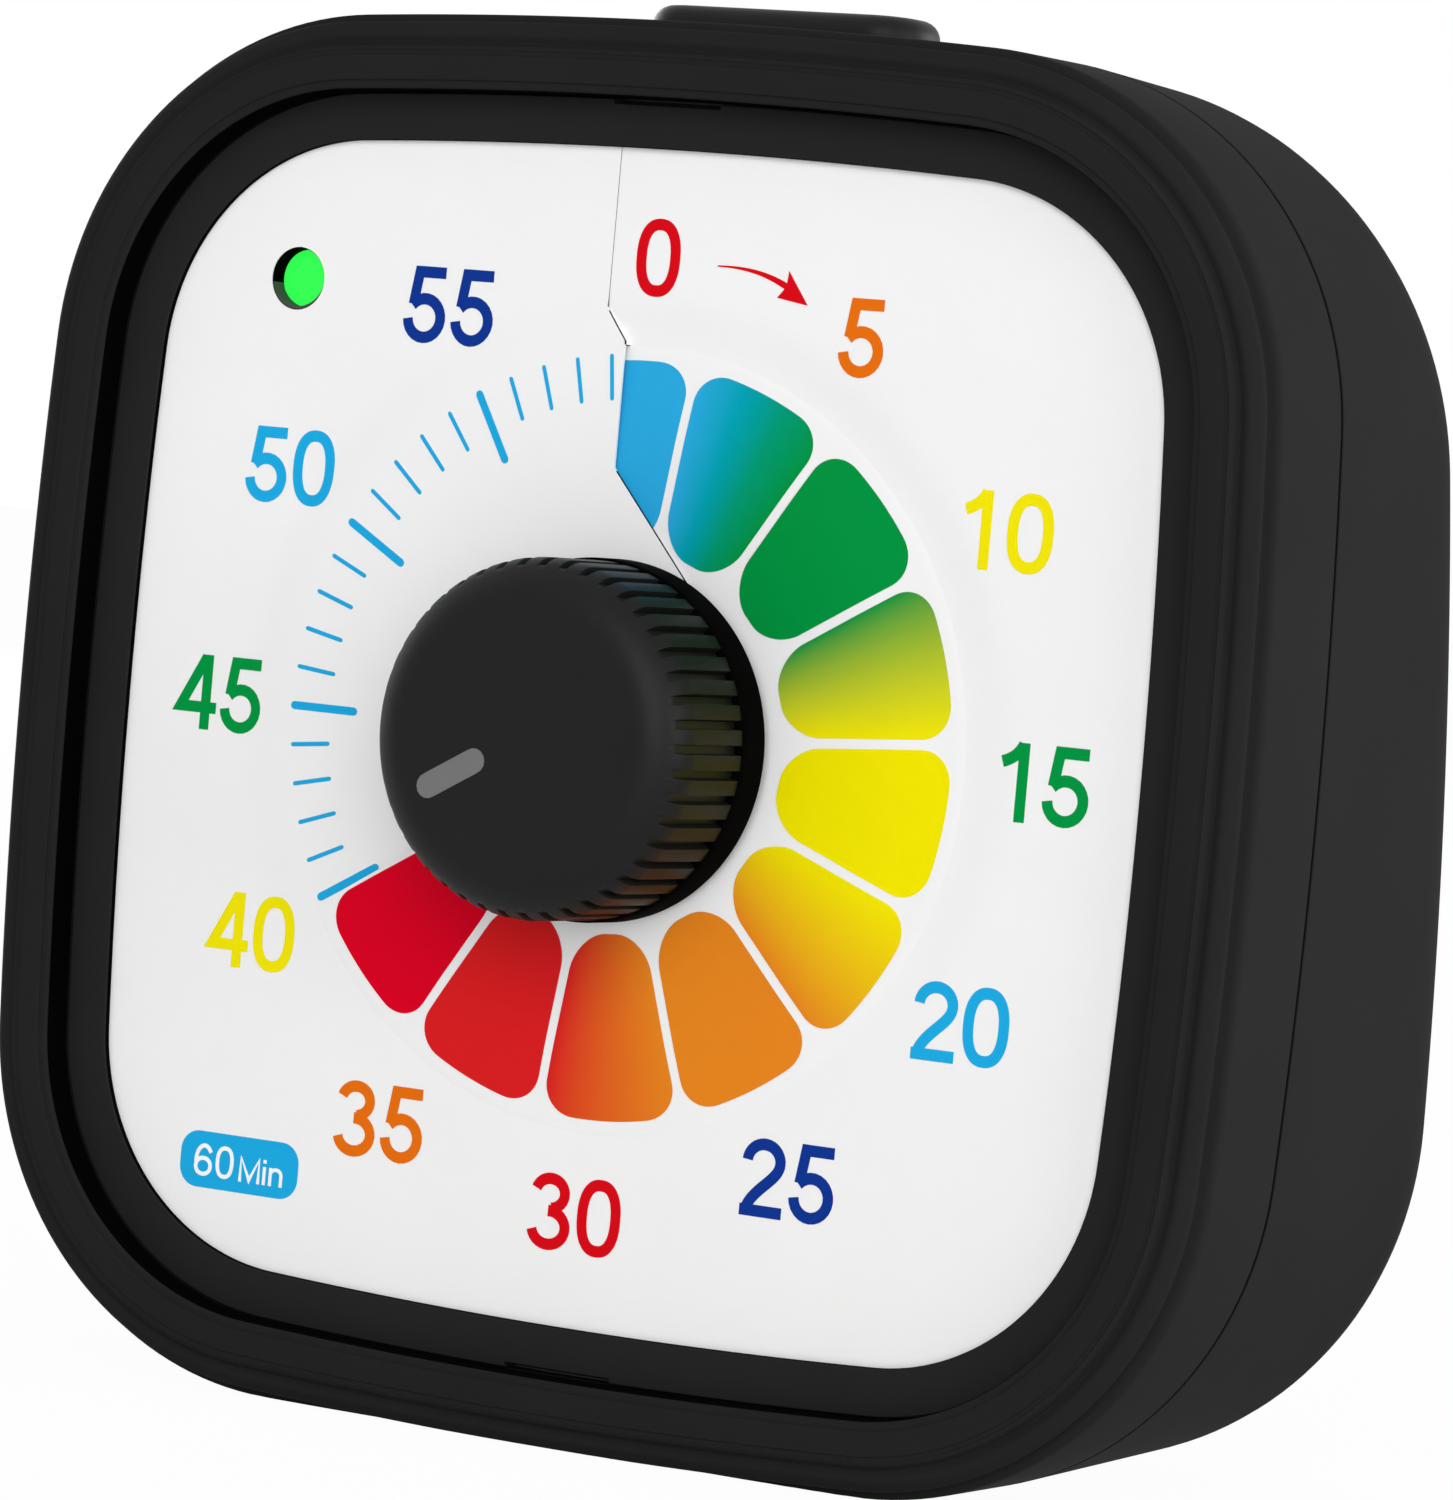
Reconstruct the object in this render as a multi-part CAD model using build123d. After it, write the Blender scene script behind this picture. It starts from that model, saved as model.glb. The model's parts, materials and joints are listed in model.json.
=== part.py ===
from build123d import *
import math
import os

# A 60 minute countdown timer. Millimetres, +X right, +Y to the back, +Z up.
# The origin is on the base, in the middle of the width and of the whole depth.

# Case outline: a square with bowed sides and large corners
case_size = 86.0
side_bow_radius = 400.0
corner_radius = 22.0
base_cut = 0.6  # taken off the bowed underside, so that the case stands flat
case_wall = 2.2
wall_inset = 0.35  # the walls stand back from the bead
cut_overrun = 2.0

# Depths, counted forwards or backwards from the middle plane of the dial
knob_reach = 11.4
band_reach = 2.9
parting_depth = 7.2
parting_gap = 0.15
back_depth = 32.0  # to the rear face, level with the centre of the dial
back_lean = 7.05  # degrees, the case is deeper at its foot
rear_edge_radius = 8.0

# Front shell
bead_depth = 2.0
bead_radius = 1.0
bead_back_radius = 0.3
groove_radius = 1.2
groove_inset = 1.95
groove_sink = 0.4
ledge_inset = 4.2
ledge_sink = 0.2
opening_inset = 4.7
lip_length = 1.5
lip_wall = 0.9
lip_gap = 0.1

# Dial frame
frame_reach = 0.9
frame_plate = 0.52
frame_inner_inset = 7.63
frame_rim = 0.8
frame_gap = 0.1
notch_width = 7.4
notch_depth = 0.35

# Dial and time disc: two sheets on one screw surface, so that the disc winds through the slit
dial_sheet = 0.3
disc_sheet = 0.2
sheet_gap = 0.08
dial_gap = 0.1
dial_hole_gap = 0.3
disc_radius = 23.6
disc_pocket_gap = 1.0
disc_span = 358.0  # degrees
time_shown = 240.0  # degrees, forty minutes
sheet_step = 30  # degrees from one ruling of the sheets to the next
slit_top_x = -3.17
slit_upper_z = 25.7
slit_middle_x = -1.6
slit_middle_z = 23.8
slit_lower_z = 16.2
slit_knob_x = 4.16
slit_knob_z = 9.7

# Knob
knob_radius = 10.7
knob_foot_gap = 0.9  # from the dial's middle plane
knob_collar_radius = 10.95
knob_collar_height = 2.55
knob_round = 2.8
knob_rib_count = 45
knob_groove_width = 0.55
knob_groove_depth = 0.5
knob_roof = 3.0
knob_socket_gap = 0.6
knob_socket_depth = 1.6

# Arbor with two flats, its hub, bush and nut
arbor_radius = 2.0
arbor_flat = 1.6
arbor_tail = 0.8
flat_gap = 0.04
running_gap = 0.04
hub_radius = 6.0
hub_front = 0.6
hub_back = 0.65
bush_radius = 3.5
bush_flange_radius = 5.0
bush_flange = 0.6
bush_gap = 0.05
bush_end = 0.2
nut_across_flats = 9.0
nut_height = 1.4

# Dial carrier
carrier_front = 1.2  # behind the dial's middle plane
carrier_plate = 1.6
carrier_gap = 0.2
boss_radius = 3.2
boss_length = 8.2
board_post_radius = 2.4

# Movement
movement_size = 35.4
movement_shift = 3.9  # of its middle from the arbor, to the right and up
movement_corner = 3.0
movement_plate_thick = 1.2
movement_wall = 1.0
gear_room = 5.6
column_radius = 2.2
column_edge = 2.5
train_angle = 45.0  # degrees from the level, from the arbor up to the idler
motor_angle = 180.0  # degrees, from the idler to the motor
gear_module = 0.4
pressure_angle = 25.0
addendum_share = 0.75
dedendum_share = 1.1
tooth_share = 0.45
wheel_teeth = 60
idler_teeth = 48
pinion_teeth = 12
gear_width = 1.2
gear_rise = 2.2  # from the movement plate to the arbor wheel
gear_side_gap = 0.4
pinion_side = 0.2  # a pinion is this much longer than its wheel at each side
clutch_radius = 4.0
clutch_sheet = 0.3
clutch_height = 0.8
clip_radius = 3.6
clip_thick = 0.5
clip_mouth = 2.4
pin_radius = 0.75
motor_radius = 8.0
motor_length = 4.8
motor_edge = 0.6
motor_shaft_radius = 0.7
motor_shaft_depth = 3.0

# Screws
screw_radius = 1.0
screw_head_radius = 1.9
screw_head = 1.4
screw_gap = 0.05
screw_grip = 1.2
case_screw_radius = 1.5
case_screw_head_radius = 2.7
case_screw_head = 2.0
case_screw_seat = 18.0  # behind the dial's middle plane
case_screw_length = 13.5
case_screw_gap = 0.15
post_radius = 4.2
post_side = 10.0  # from the widest point of the case
post_top = 15.0
post_bay_gap = 0.45

# Circuit board with its switch, light and buzzer
board_depth = 15.8
board_thick = 1.4
board_height = 12.5
board_side = 14.4  # from the sides and the top of the case
board_drop = 5.5
board_corner = 1.0
board_post_side = 6.6  # from the board's own edges
board_post_drop = 3.5
board_screw_grip = 4.0
lamp_side = 17.5  # from the left side and the top of the case
lamp_drop = 16.7
lamp_hole_radius = 1.93
lamp_gap = 0.1
lens_sink = 0.85
lens_length = 9.55
lens_flange_radius = 2.8
lens_flange = 1.0
led_radius = 1.5
led_flange_radius = 1.8
led_flange = 0.8
led_gap = 0.2
led_lead = 0.5
led_lead_pitch = 1.8
led_lead_tail = 0.8
switch_width = 6.2
switch_height = 4.0
switch_drop = 0.5  # the switch stops below the board's top edge
plunger_radius = 1.2
plunger_depth = 1.0
buzzer_radius = 6.0
buzzer_height = 5.0
buzzer_port_radius = 1.0
buzzer_port_depth = 1.5
buzzer_spacing = 8.0  # to the left of the right board screw
buzzer_drop = 6.5  # from the board's top edge

# Top button
button_width = 19.0
button_length = 7.0
button_corner = 3.2
button_depth = 14.0  # behind the dial's middle plane
button_proud = 2.2
button_round = 1.2
button_gap = 0.15
button_flange = 1.0
button_flange_thick = 1.25
button_flange_gap = 0.35

# Battery with its bay, contacts and door
cell_diameter = 14.5
cell_length = 50.5
cell_nub_diameter = 5.5
cell_nub_length = 1.0
cell_edge = 0.6
cell_rise = 17.5  # from the lowest point of the case's outline
cell_sink = 7.0  # from the rear face, level with the centre of the dial
bay_wall = 1.2
bay_gap = 0.4
contact_thick = 0.5
contact_size = 9.0
spring_length = 5.2
spring_sheet = 0.4
spring_chord = 12.0
spring_width = 7.0
door_width = 55.0
door_height = 17.0
door_thick = 1.4
door_corner = 2.0
door_gap = 0.15
door_ledge = 0.9
door_grip_width = 12.0
door_grip_radius = 3.0
door_grip_sink = 0.5

# Volume switch and sound slots on the back
volume_x = -16.0
volume_drop = 27.0  # from the top of the case
volume_cap_length = 3.5
volume_cap_height = 2.2
volume_cap_proud = 1.0
volume_travel = 2.0  # each way
volume_gap = 0.2
volume_body_length = 12.0
volume_body_height = 6.0
volume_body_depth = 4.0
volume_stem_depth = 1.0
sound_drop = 18.0  # from the top of the case, behind the buzzer
sound_slot_length = 12.0
sound_slot_width = 1.2
sound_slot_pitch = 2.6
sound_slot_count = 5

# Worked out from the sizes above
half = case_size / 2
wall_half = half - wall_inset
inner_inset = wall_inset + case_wall
lean = math.radians(back_lean)
rear_reach = (
    back_depth
    + rear_edge_radius * (1 - 1 / math.cos(lean))
    + (wall_half - rear_edge_radius) * math.tan(lean)
)
dial_y = (knob_reach - rear_reach) / 2
centre_z = half - base_cut
band_y = dial_y - band_reach
parting_y = dial_y + parting_depth
shoulder_y = dial_y + carrier_front
carrier_back = shoulder_y + carrier_plate
boss_back = carrier_back + boss_length
far_back = dial_y + rear_reach + cut_overrun
sheet_pitch = dial_sheet + disc_sheet + 2 * sheet_gap
dial_hole_radius = hub_radius + dial_hole_gap
knob_front = dial_y - knob_reach
knob_foot = dial_y - knob_foot_gap
plate_back = carrier_back + movement_plate_thick
cover_front = plate_back + gear_room
cover_back = cover_front + movement_plate_thick
wheel_front = plate_back + gear_rise
wheel_back = wheel_front + gear_width
idler_front = wheel_back + gear_side_gap
idler_back = idler_front + gear_width
idler_reach = (wheel_teeth + pinion_teeth) * gear_module / 2
idler_x = idler_reach * math.cos(math.radians(train_angle))
idler_z = idler_reach * math.sin(math.radians(train_angle))
motor_reach = (idler_teeth + pinion_teeth) * gear_module / 2
motor_x = idler_x + motor_reach * math.cos(math.radians(motor_angle))
motor_z = idler_z + motor_reach * math.sin(math.radians(motor_angle))
board_front = dial_y + board_depth
board_back = board_front + board_thick
board_width = case_size - 2 * board_side
board_top = half - board_drop
board_post_x = board_width / 2 - board_post_side
board_post_z = board_top - board_post_drop
lamp_x = lamp_side - half
lamp_z = half - lamp_drop
buzzer_x = board_post_x - buzzer_spacing
buzzer_z = board_top - buzzer_drop
volume_z = half - volume_drop
sound_z = half - sound_drop
button_y = dial_y + button_depth
wall_top = wall_half
inner_top = half - inner_inset
button_under = inner_top - button_flange_gap - button_flange_thick
switch_top = board_top - switch_drop
cell_y = dial_y + back_depth - cell_sink
cell_drop = half - cell_rise
bay_length = contact_thick + cell_length + spring_length
bay_half = bay_length / 2
bay_height = cell_diameter + 2 * bay_gap
bay_front = cell_y - cell_diameter / 2 - bay_gap
rear_face = Plane(
    origin=(0, dial_y + back_depth, centre_z),
    x_dir=(-1, 0, 0),
    z_dir=(0, math.cos(lean), math.sin(lean)),
)
up_the_back = 1 / math.cos(lean)
post_x = half - post_side
upper_post_z = half - post_top
lower_post_z = bay_height / 2 + bay_wall + post_bay_gap + post_radius - cell_drop
post_places = [(x, z) for x in (-post_x, post_x) for z in (lower_post_z, upper_post_z)]
board_post_places = [(-board_post_x, board_post_z), (board_post_x, board_post_z)]
column_reach = movement_size / 2 - column_edge
column_places = [
    (movement_shift + i * column_reach, movement_shift + j * column_reach) for i in (-1, 1) for j in (-1, 1)
]


# Shapes that several pieces share
def outline(inset):
    # Four side arcs and four corner arcs, tangent to each other; an inset keeps their centres
    reach = half - inset
    corner = corner_radius - inset
    bow = side_bow_radius - inset
    side_centre = reach - bow
    corner_centre = (side_centre + math.sqrt(2 * (bow - corner) ** 2 - side_centre**2)) / 2
    turn = math.atan2(corner_centre, corner_centre - side_centre)
    touch_x = side_centre + bow * math.cos(turn)
    touch_z = bow * math.sin(turn)
    corner_mid = corner_centre + corner * math.sqrt(0.5)
    side = ThreePointArc((touch_x, -touch_z), (reach, 0), (touch_x, touch_z))
    bend = ThreePointArc((touch_x, touch_z), (corner_mid, corner_mid), (touch_z, touch_x))
    edges = [Rot(0, 0, 90 * quarter) * edge for quarter in range(4) for edge in (side, bend)]
    return make_face(edges)


def upright(y):
    # A plane that faces the viewer, with its own x to the right and its y up, at the dial's centre
    return Plane(origin=(0, y, centre_z), x_dir=(1, 0, 0), z_dir=(0, -1, 0))


def slab(sketch, front, back):
    return extrude(upright(front) * sketch, amount=back - front, dir=(0, 1, 0))


def peg(x, z, radius, front, back):
    return slab(Pos(x, z) * Circle(radius), front, back)


def beside(x, z, sketch):
    return Pos(x, z) * sketch


def base_block():
    # What lies under the base plane
    side = case_size + 2 * cut_overrun
    return Pos(0, 0, -side / 2) * Box(side, 2 * side, side)


def ramp(angle):
    # The dial's front along the screw surface: it comes forward as the angle runs clockwise from twelve
    return dial_y + sheet_pitch / 2 - sheet_pitch * angle / 360


def ruling(angle, r_in, r_out, front, back):
    # One radial cross-section of a sheet, from the given front to the given back
    a = math.radians(angle)
    corners = [(r_in, front), (r_out, front), (r_out, back), (r_in, back)]
    return Wire.make_polygon(
        [(r * math.sin(a), y, centre_z + r * math.cos(a)) for r, y in corners], close=True
    )


def angles_between(start, stop):
    count = math.ceil((stop - start) / sheet_step)
    return [start + (stop - start) * i / count for i in range(count + 1)]


def split_sheet(front_of, back_of, r_in):
    # A dial-sized sheet on the screw surface. It is cut along the slit and steps by one pitch there.
    r_out = case_size
    far = case_size
    slit = [
        (slit_top_x, far),
        (slit_top_x, slit_upper_z),
        (slit_middle_x, slit_middle_z),
        (slit_middle_x, slit_lower_z),
        (slit_knob_x, slit_knob_z),
        (0, 0),
        (0, -far),
    ]
    pieces = []
    right_half = (1, -sheet_step, 180 + sheet_step)
    left_half = (-1, 180 - sheet_step, 360 + sheet_step)
    for side, start, stop in (right_half, left_half):
        sections = [ruling(a, r_in, r_out, front_of(a), back_of(a)) for a in angles_between(start, stop)]
        sheet = Solid.make_loft(sections, ruled=True)
        mask = make_face(Polyline(slit + [(side * far, -far), (side * far, far)], close=True))
        pieces.append(sheet & slab(mask, dial_y - cut_overrun, dial_y + cut_overrun))
    return pieces[0] + pieces[1]


# Case
def front_shell():
    bead = slab(outline(0), band_y, band_y + bead_depth)
    bead = fillet(bead.edges().group_by(Axis.Y)[0], bead_radius)
    bead = fillet(bead.edges().group_by(Axis.Y)[-1], bead_back_radius)
    shell = bead + slab(outline(wall_inset), band_y + bead_depth / 2, parting_y - parting_gap / 2)
    path = (upright(band_y - groove_radius + groove_sink) * outline(groove_inset)).wire()
    shell -= sweep(Plane(origin=path @ 0, z_dir=path % 0) * Circle(groove_radius), path=path)
    shell -= slab(outline(ledge_inset), band_y - cut_overrun, band_y + ledge_sink)
    shell -= slab(outline(opening_inset), band_y - cut_overrun, shoulder_y + cut_overrun)
    shell -= slab(outline(inner_inset), shoulder_y, parting_y + cut_overrun)
    return shell - base_block()


def rear_form(inset, sink, front):
    # The rear shell's closed form: the outline, cut by the leaning back, with a soft rear edge
    form = slab(outline(inset), front, far_back)
    form -= rear_face * Pos(0, 0, case_size / 2 - sink) * Box(2 * case_size, 2 * case_size, case_size)
    rear = form.faces().sort_by(Axis((0, 0, 0), rear_face.z_dir))[-1]
    return fillet(rear.edges(), rear_edge_radius - sink)


def on_the_back(x, z, sketch, outer, inner):
    # A prism square to the leaning back, from one depth below its face to another
    place = rear_face * Pos(-x, z * up_the_back, -outer)
    return extrude(place * sketch, amount=outer - inner)


def door_opening():
    pocket = RectangleRounded(door_width + 2 * door_gap, door_height + 2 * door_gap, door_corner + door_gap)
    mouth = RectangleRounded(door_width - 2 * door_ledge, door_height - 2 * door_ledge, door_corner)
    hole = on_the_back(0, -cell_drop, pocket, -cut_overrun, door_thick)
    return hole + on_the_back(0, -cell_drop, mouth, 0, case_wall + bay_gap)


def battery_bay():
    shape = Rectangle(bay_length + 2 * bay_wall, bay_height + 2 * bay_wall)
    return slab(beside(0, -cell_drop, shape), bay_front - bay_wall, far_back)


def rear_shell():
    front = parting_y + parting_gap / 2
    outer = rear_form(wall_inset, 0, front)
    inner = rear_form(inner_inset, case_wall, front - cut_overrun)
    shell = outer - inner
    lip_front = front - lip_length
    lip_outer = inner_inset + lip_gap
    shell += slab(outline(lip_outer) - outline(lip_outer + lip_wall), lip_front, front + lip_wall)
    shell += slab(outline(inner_inset - lip_gap) - outline(lip_outer + lip_wall), front, front + lip_wall)
    shell += [peg(x, z, post_radius, boss_back, far_back) & outer for x, z in post_places]
    shell += battery_bay() & outer
    bay = slab(beside(0, -cell_drop, Rectangle(bay_length, bay_height)), bay_front, far_back)
    shell -= bay & inner
    shell -= door_opening()
    seat = dial_y + case_screw_seat
    for x, z in post_places:
        shell -= peg(x, z, case_screw_radius + case_screw_gap, boss_back - cut_overrun, seat + cut_overrun)
        shell -= peg(x, z, case_screw_head_radius + case_screw_gap, seat, far_back)
    for i in range(sound_slot_count):
        rise = (i - (sound_slot_count - 1) / 2) * sound_slot_pitch
        slot = SlotOverall(sound_slot_length, sound_slot_width)
        shell -= on_the_back(buzzer_x, sound_z + rise, slot, -cut_overrun, case_wall + cut_overrun)
    slot_length = volume_cap_length + 2 * volume_travel + 2 * volume_gap
    slot = Rectangle(slot_length, volume_cap_height + 2 * volume_gap)
    shell -= on_the_back(volume_x, volume_z, slot, -cut_overrun, case_wall + volume_gap)
    window = RectangleRounded(
        button_width + 2 * button_gap, button_length + 2 * button_gap, button_corner + button_gap
    )
    roof = Pos(0, button_y, centre_z + inner_top - cut_overrun) * window
    shell -= extrude(roof, amount=case_wall + 2 * cut_overrun)
    return shell - base_block()


def case_screws():
    seat = dial_y + case_screw_seat
    screws = []
    for x, z in post_places:
        shank = peg(x, z, case_screw_radius, seat - case_screw_length, seat)
        head = peg(x, z, case_screw_head_radius, seat, seat + case_screw_head)
        screws.append(shank + head)
    return Compound(children=screws)


# Dial
def dial_frame():
    front = dial_y - frame_reach
    outer = opening_inset + frame_gap
    frame = slab(outline(outer) - outline(frame_inner_inset), front, front + frame_plate)
    frame += slab(outline(outer) - outline(outer + frame_rim), front, shoulder_y)
    notch = Rectangle(notch_width, 2 * notch_depth)
    for side in (-1, 1):
        place = beside(0, side * (half - outer), notch)
        frame -= slab(place, front - cut_overrun, shoulder_y + cut_overrun)
    return frame


def dial_edge(gap):
    return outline(opening_inset + frame_gap + frame_rim + gap)


def dial():
    sheet = split_sheet(ramp, lambda a: ramp(a) + dial_sheet, hub_radius / 2)
    front = dial_y - sheet_pitch - cut_overrun
    back = dial_y + sheet_pitch + cut_overrun
    sheet &= slab(dial_edge(dial_gap), front, back)
    sheet -= peg(0, 0, dial_hole_radius, front, back)
    return sheet - peg(lamp_x, lamp_z, lamp_hole_radius, front, back)


def time_disc():
    lift = sheet_gap + disc_sheet
    sections = [
        ruling(a, hub_radius, disc_radius + disc_pocket_gap, ramp(a) - lift, ramp(a) - sheet_gap)
        for a in angles_between(time_shown - disc_span, time_shown)
    ]
    sheet = Solid.make_loft(sections, ruled=True)
    front = dial_y - cut_overrun
    back = dial_y + cut_overrun
    return sheet & slab(Circle(disc_radius) - Circle(hub_radius), front, back)


def dial_carrier():
    carrier = slab(outline(inner_inset + carrier_gap), shoulder_y, carrier_back)
    inside_plate = shoulder_y + carrier_plate / 2
    ledge = split_sheet(lambda a: ramp(a) + dial_sheet, lambda a: inside_plate, hub_radius)
    ring = dial_edge(dial_gap) - Circle(disc_radius + disc_pocket_gap)
    carrier += ledge & slab(ring, dial_y - cut_overrun, carrier_back)
    carrier += [peg(x, z, boss_radius, carrier_back, boss_back) for x, z in post_places]
    carrier += [peg(x, z, board_post_radius, carrier_back, board_front) for x, z in board_post_places]
    case_screw_tip = dial_y + case_screw_seat - case_screw_length
    for x, z in post_places:
        carrier -= peg(x, z, case_screw_radius + screw_gap, case_screw_tip, boss_back + cut_overrun)
    board_screw_tip = board_front - board_screw_grip
    for x, z in board_post_places:
        carrier -= peg(x, z, screw_radius + screw_gap, board_screw_tip, board_front + cut_overrun)
    for x, z in column_places:
        carrier -= peg(x, z, screw_radius + screw_gap, carrier_back - screw_grip, carrier_back + cut_overrun)
    flange = bush_flange_radius + bush_gap
    carrier -= peg(0, 0, flange, shoulder_y - cut_overrun, shoulder_y + bush_end + bush_flange)
    carrier -= peg(0, 0, bush_radius + bush_gap, shoulder_y, carrier_back + cut_overrun)
    return carrier - peg(lamp_x, lamp_z, lamp_hole_radius, dial_y - cut_overrun, carrier_back + cut_overrun)


# Knob and arbor
def double_flat(radius, flat):
    return Circle(radius) & Rectangle(2 * radius, 2 * flat)


def knob():
    body = peg(0, 0, knob_radius, knob_front, knob_foot)
    body = fillet(body.edges().group_by(Axis.Y)[0], knob_round)
    groove_front = knob_front + knob_round / 2
    collar_front = knob_foot - knob_collar_height
    groove = Rectangle(2 * knob_groove_depth, knob_groove_width)
    cutter = slab(beside(knob_radius, 0, groove), groove_front, collar_front)
    centre = Axis((0, 0, centre_z), (0, 1, 0))
    body -= [cutter.rotate(centre, 360 * i / knob_rib_count) for i in range(knob_rib_count)]
    body += peg(0, 0, knob_collar_radius, collar_front, knob_foot)
    socket = hub_radius + knob_socket_gap
    body -= peg(0, 0, socket, knob_foot - knob_socket_depth, knob_foot + cut_overrun)
    bore = double_flat(arbor_radius + flat_gap, arbor_flat + flat_gap)
    return body - slab(bore, knob_front + knob_roof, knob_foot + cut_overrun)


def arbor():
    bush_front = shoulder_y + bush_end
    shaft = slab(double_flat(arbor_radius, arbor_flat), knob_front + knob_roof, bush_front)
    return shaft + peg(0, 0, arbor_radius, bush_front, cover_back + arbor_tail)


def disc_hub():
    front = dial_y - hub_front
    back = dial_y + hub_back
    bore = double_flat(arbor_radius + running_gap, arbor_flat + running_gap)
    return slab(Circle(hub_radius) - bore, front, back)


def arbor_bush():
    front = shoulder_y + bush_end
    back = plate_back + nut_height + bush_end
    bush = peg(0, 0, bush_flange_radius, front, front + bush_flange) + peg(0, 0, bush_radius, front, back)
    return bush - peg(0, 0, arbor_radius + running_gap, front - cut_overrun, back + cut_overrun)


def bush_nut():
    hexagon = RegularPolygon(nut_across_flats / 2, 6, major_radius=False)
    return slab(hexagon - Circle(bush_radius + bush_gap), plate_back, plate_back + nut_height)


# Movement
def gear_face(teeth, phase):
    # Involute teeth: each flank runs from the root through the base and pitch circles to the tip
    pitch_radius = teeth * gear_module / 2
    base_radius = pitch_radius * math.cos(math.radians(pressure_angle))
    root_radius = pitch_radius - dedendum_share * gear_module
    tip_radius = pitch_radius + addendum_share * gear_module

    def involute(radius):
        grip = math.acos(min(1, base_radius / radius))
        return math.tan(grip) - grip

    half_pitch = math.pi * tooth_share / teeth
    radii = sorted({root_radius, max(base_radius, root_radius), pitch_radius, tip_radius})
    flank = [(r, half_pitch + involute(pitch_radius) - involute(max(r, base_radius))) for r in radii]
    points = []
    for tooth in range(teeth):
        middle = math.radians(phase + 360 * tooth / teeth)
        points += [(r * math.cos(middle - a), r * math.sin(middle - a)) for r, a in flank]
        points += [(r * math.cos(middle + a), r * math.sin(middle + a)) for r, a in reversed(flank)]
    return make_face(Polyline(points, close=True))


def arbor_wheel():
    face = gear_face(wheel_teeth, train_angle) - Circle(arbor_radius + flat_gap)
    return slab(face, wheel_front, wheel_back)


def clutch_spring():
    # A dished washer, pressed against the wheel by the clip
    start = wheel_back
    inner = arbor_radius + flat_gap
    with BuildPart() as washer:
        with BuildSketch(Plane.XY):
            with BuildLine():
                Polyline(
                    (clutch_radius, 0),
                    (clutch_radius, clutch_sheet),
                    (inner, clutch_height),
                    (inner, clutch_height - clutch_sheet),
                    close=True,
                )
            make_face()
        revolve(axis=Axis.Y)
    return Pos(0, start, centre_z) * washer.part


def arbor_clip():
    front = wheel_back + clutch_height
    ring = Circle(clip_radius) - Circle(arbor_radius + flat_gap)
    mouth = beside(0, -clip_radius, Rectangle(clip_mouth, 2 * clip_radius))
    return slab(ring - mouth, front, front + clip_thick)


def idler_gear():
    bore = Circle(pin_radius + running_gap)
    pinion_face = gear_face(pinion_teeth, train_angle + 180 + 180 / pinion_teeth) - bore
    pinion = slab(pinion_face, wheel_front - pinion_side, idler_front)
    wheel = slab(gear_face(idler_teeth, motor_angle) - bore, idler_front, idler_back)
    return Pos(idler_x, 0, idler_z) * (pinion + wheel)


def idler_pin():
    return peg(idler_x, idler_z, pin_radius, carrier_back, cover_back)


def motor_pinion():
    front = idler_front - pinion_side
    shaft = peg(0, 0, motor_shaft_radius, front, cover_back + motor_shaft_depth)
    teeth = gear_face(pinion_teeth, motor_angle + 180 + 180 / pinion_teeth)
    gear = slab(teeth, front, idler_back + pinion_side)
    return Pos(motor_x, 0, motor_z) * (shaft + gear)


def motor_can():
    can = peg(motor_x, motor_z, motor_radius, cover_back, cover_back + motor_length)
    can = chamfer(can.edges().group_by(Axis.Y)[-1], motor_edge)
    bore = motor_shaft_radius + running_gap
    bore_end = cover_back + motor_shaft_depth + running_gap
    return can - peg(motor_x, motor_z, bore, cover_back - cut_overrun, bore_end)


def movement_outline(inset):
    size = movement_size - 2 * inset
    return beside(movement_shift, movement_shift, RectangleRounded(size, size, movement_corner - inset))


def movement_plate():
    plate = slab(movement_outline(0), carrier_back, plate_back)
    plate -= peg(0, 0, bush_radius + bush_gap, carrier_back - cut_overrun, plate_back + cut_overrun)
    plate -= peg(idler_x, idler_z, pin_radius, carrier_back - cut_overrun, plate_back + cut_overrun)
    for x, z in column_places:
        plate -= peg(x, z, screw_radius + screw_gap, carrier_back - cut_overrun, plate_back + cut_overrun)
    return plate


def movement_cover():
    cover = slab(movement_outline(0), plate_back, cover_back)
    cover -= slab(movement_outline(movement_wall), plate_back - cut_overrun, cover_front)
    cover += [peg(x, z, column_radius, plate_back, cover_back) for x, z in column_places]
    for x, z in column_places:
        cover -= peg(x, z, screw_radius + screw_gap, plate_back - cut_overrun, cover_back + cut_overrun)
    cover -= peg(0, 0, arbor_radius + running_gap, cover_front - cut_overrun, cover_back + cut_overrun)
    cover -= peg(idler_x, idler_z, pin_radius, cover_front - cut_overrun, cover_back + cut_overrun)
    shaft_hole = motor_shaft_radius + running_gap
    return cover - peg(motor_x, motor_z, shaft_hole, cover_front - cut_overrun, cover_back + cut_overrun)


def movement_screws():
    screws = []
    for x, z in column_places:
        shank = peg(x, z, screw_radius, carrier_back - screw_grip, cover_back)
        screws.append(shank + peg(x, z, screw_head_radius, cover_back, cover_back + screw_head))
    return Compound(children=screws)


# Circuit board
def main_board():
    shape = RectangleRounded(board_width, board_height, board_corner)
    shape = beside(0, board_top - board_height / 2, shape)
    board = slab(shape, board_front, board_back)
    for x, z in board_post_places:
        board -= peg(x, z, screw_radius + screw_gap, board_front - cut_overrun, board_back + cut_overrun)
    for side in (-1, 1):
        lead = beside(lamp_x + side * led_lead_pitch / 2, lamp_z, Rectangle(led_lead, led_lead))
        board -= slab(lead, board_front - cut_overrun, board_back + cut_overrun)
    return board


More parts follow.
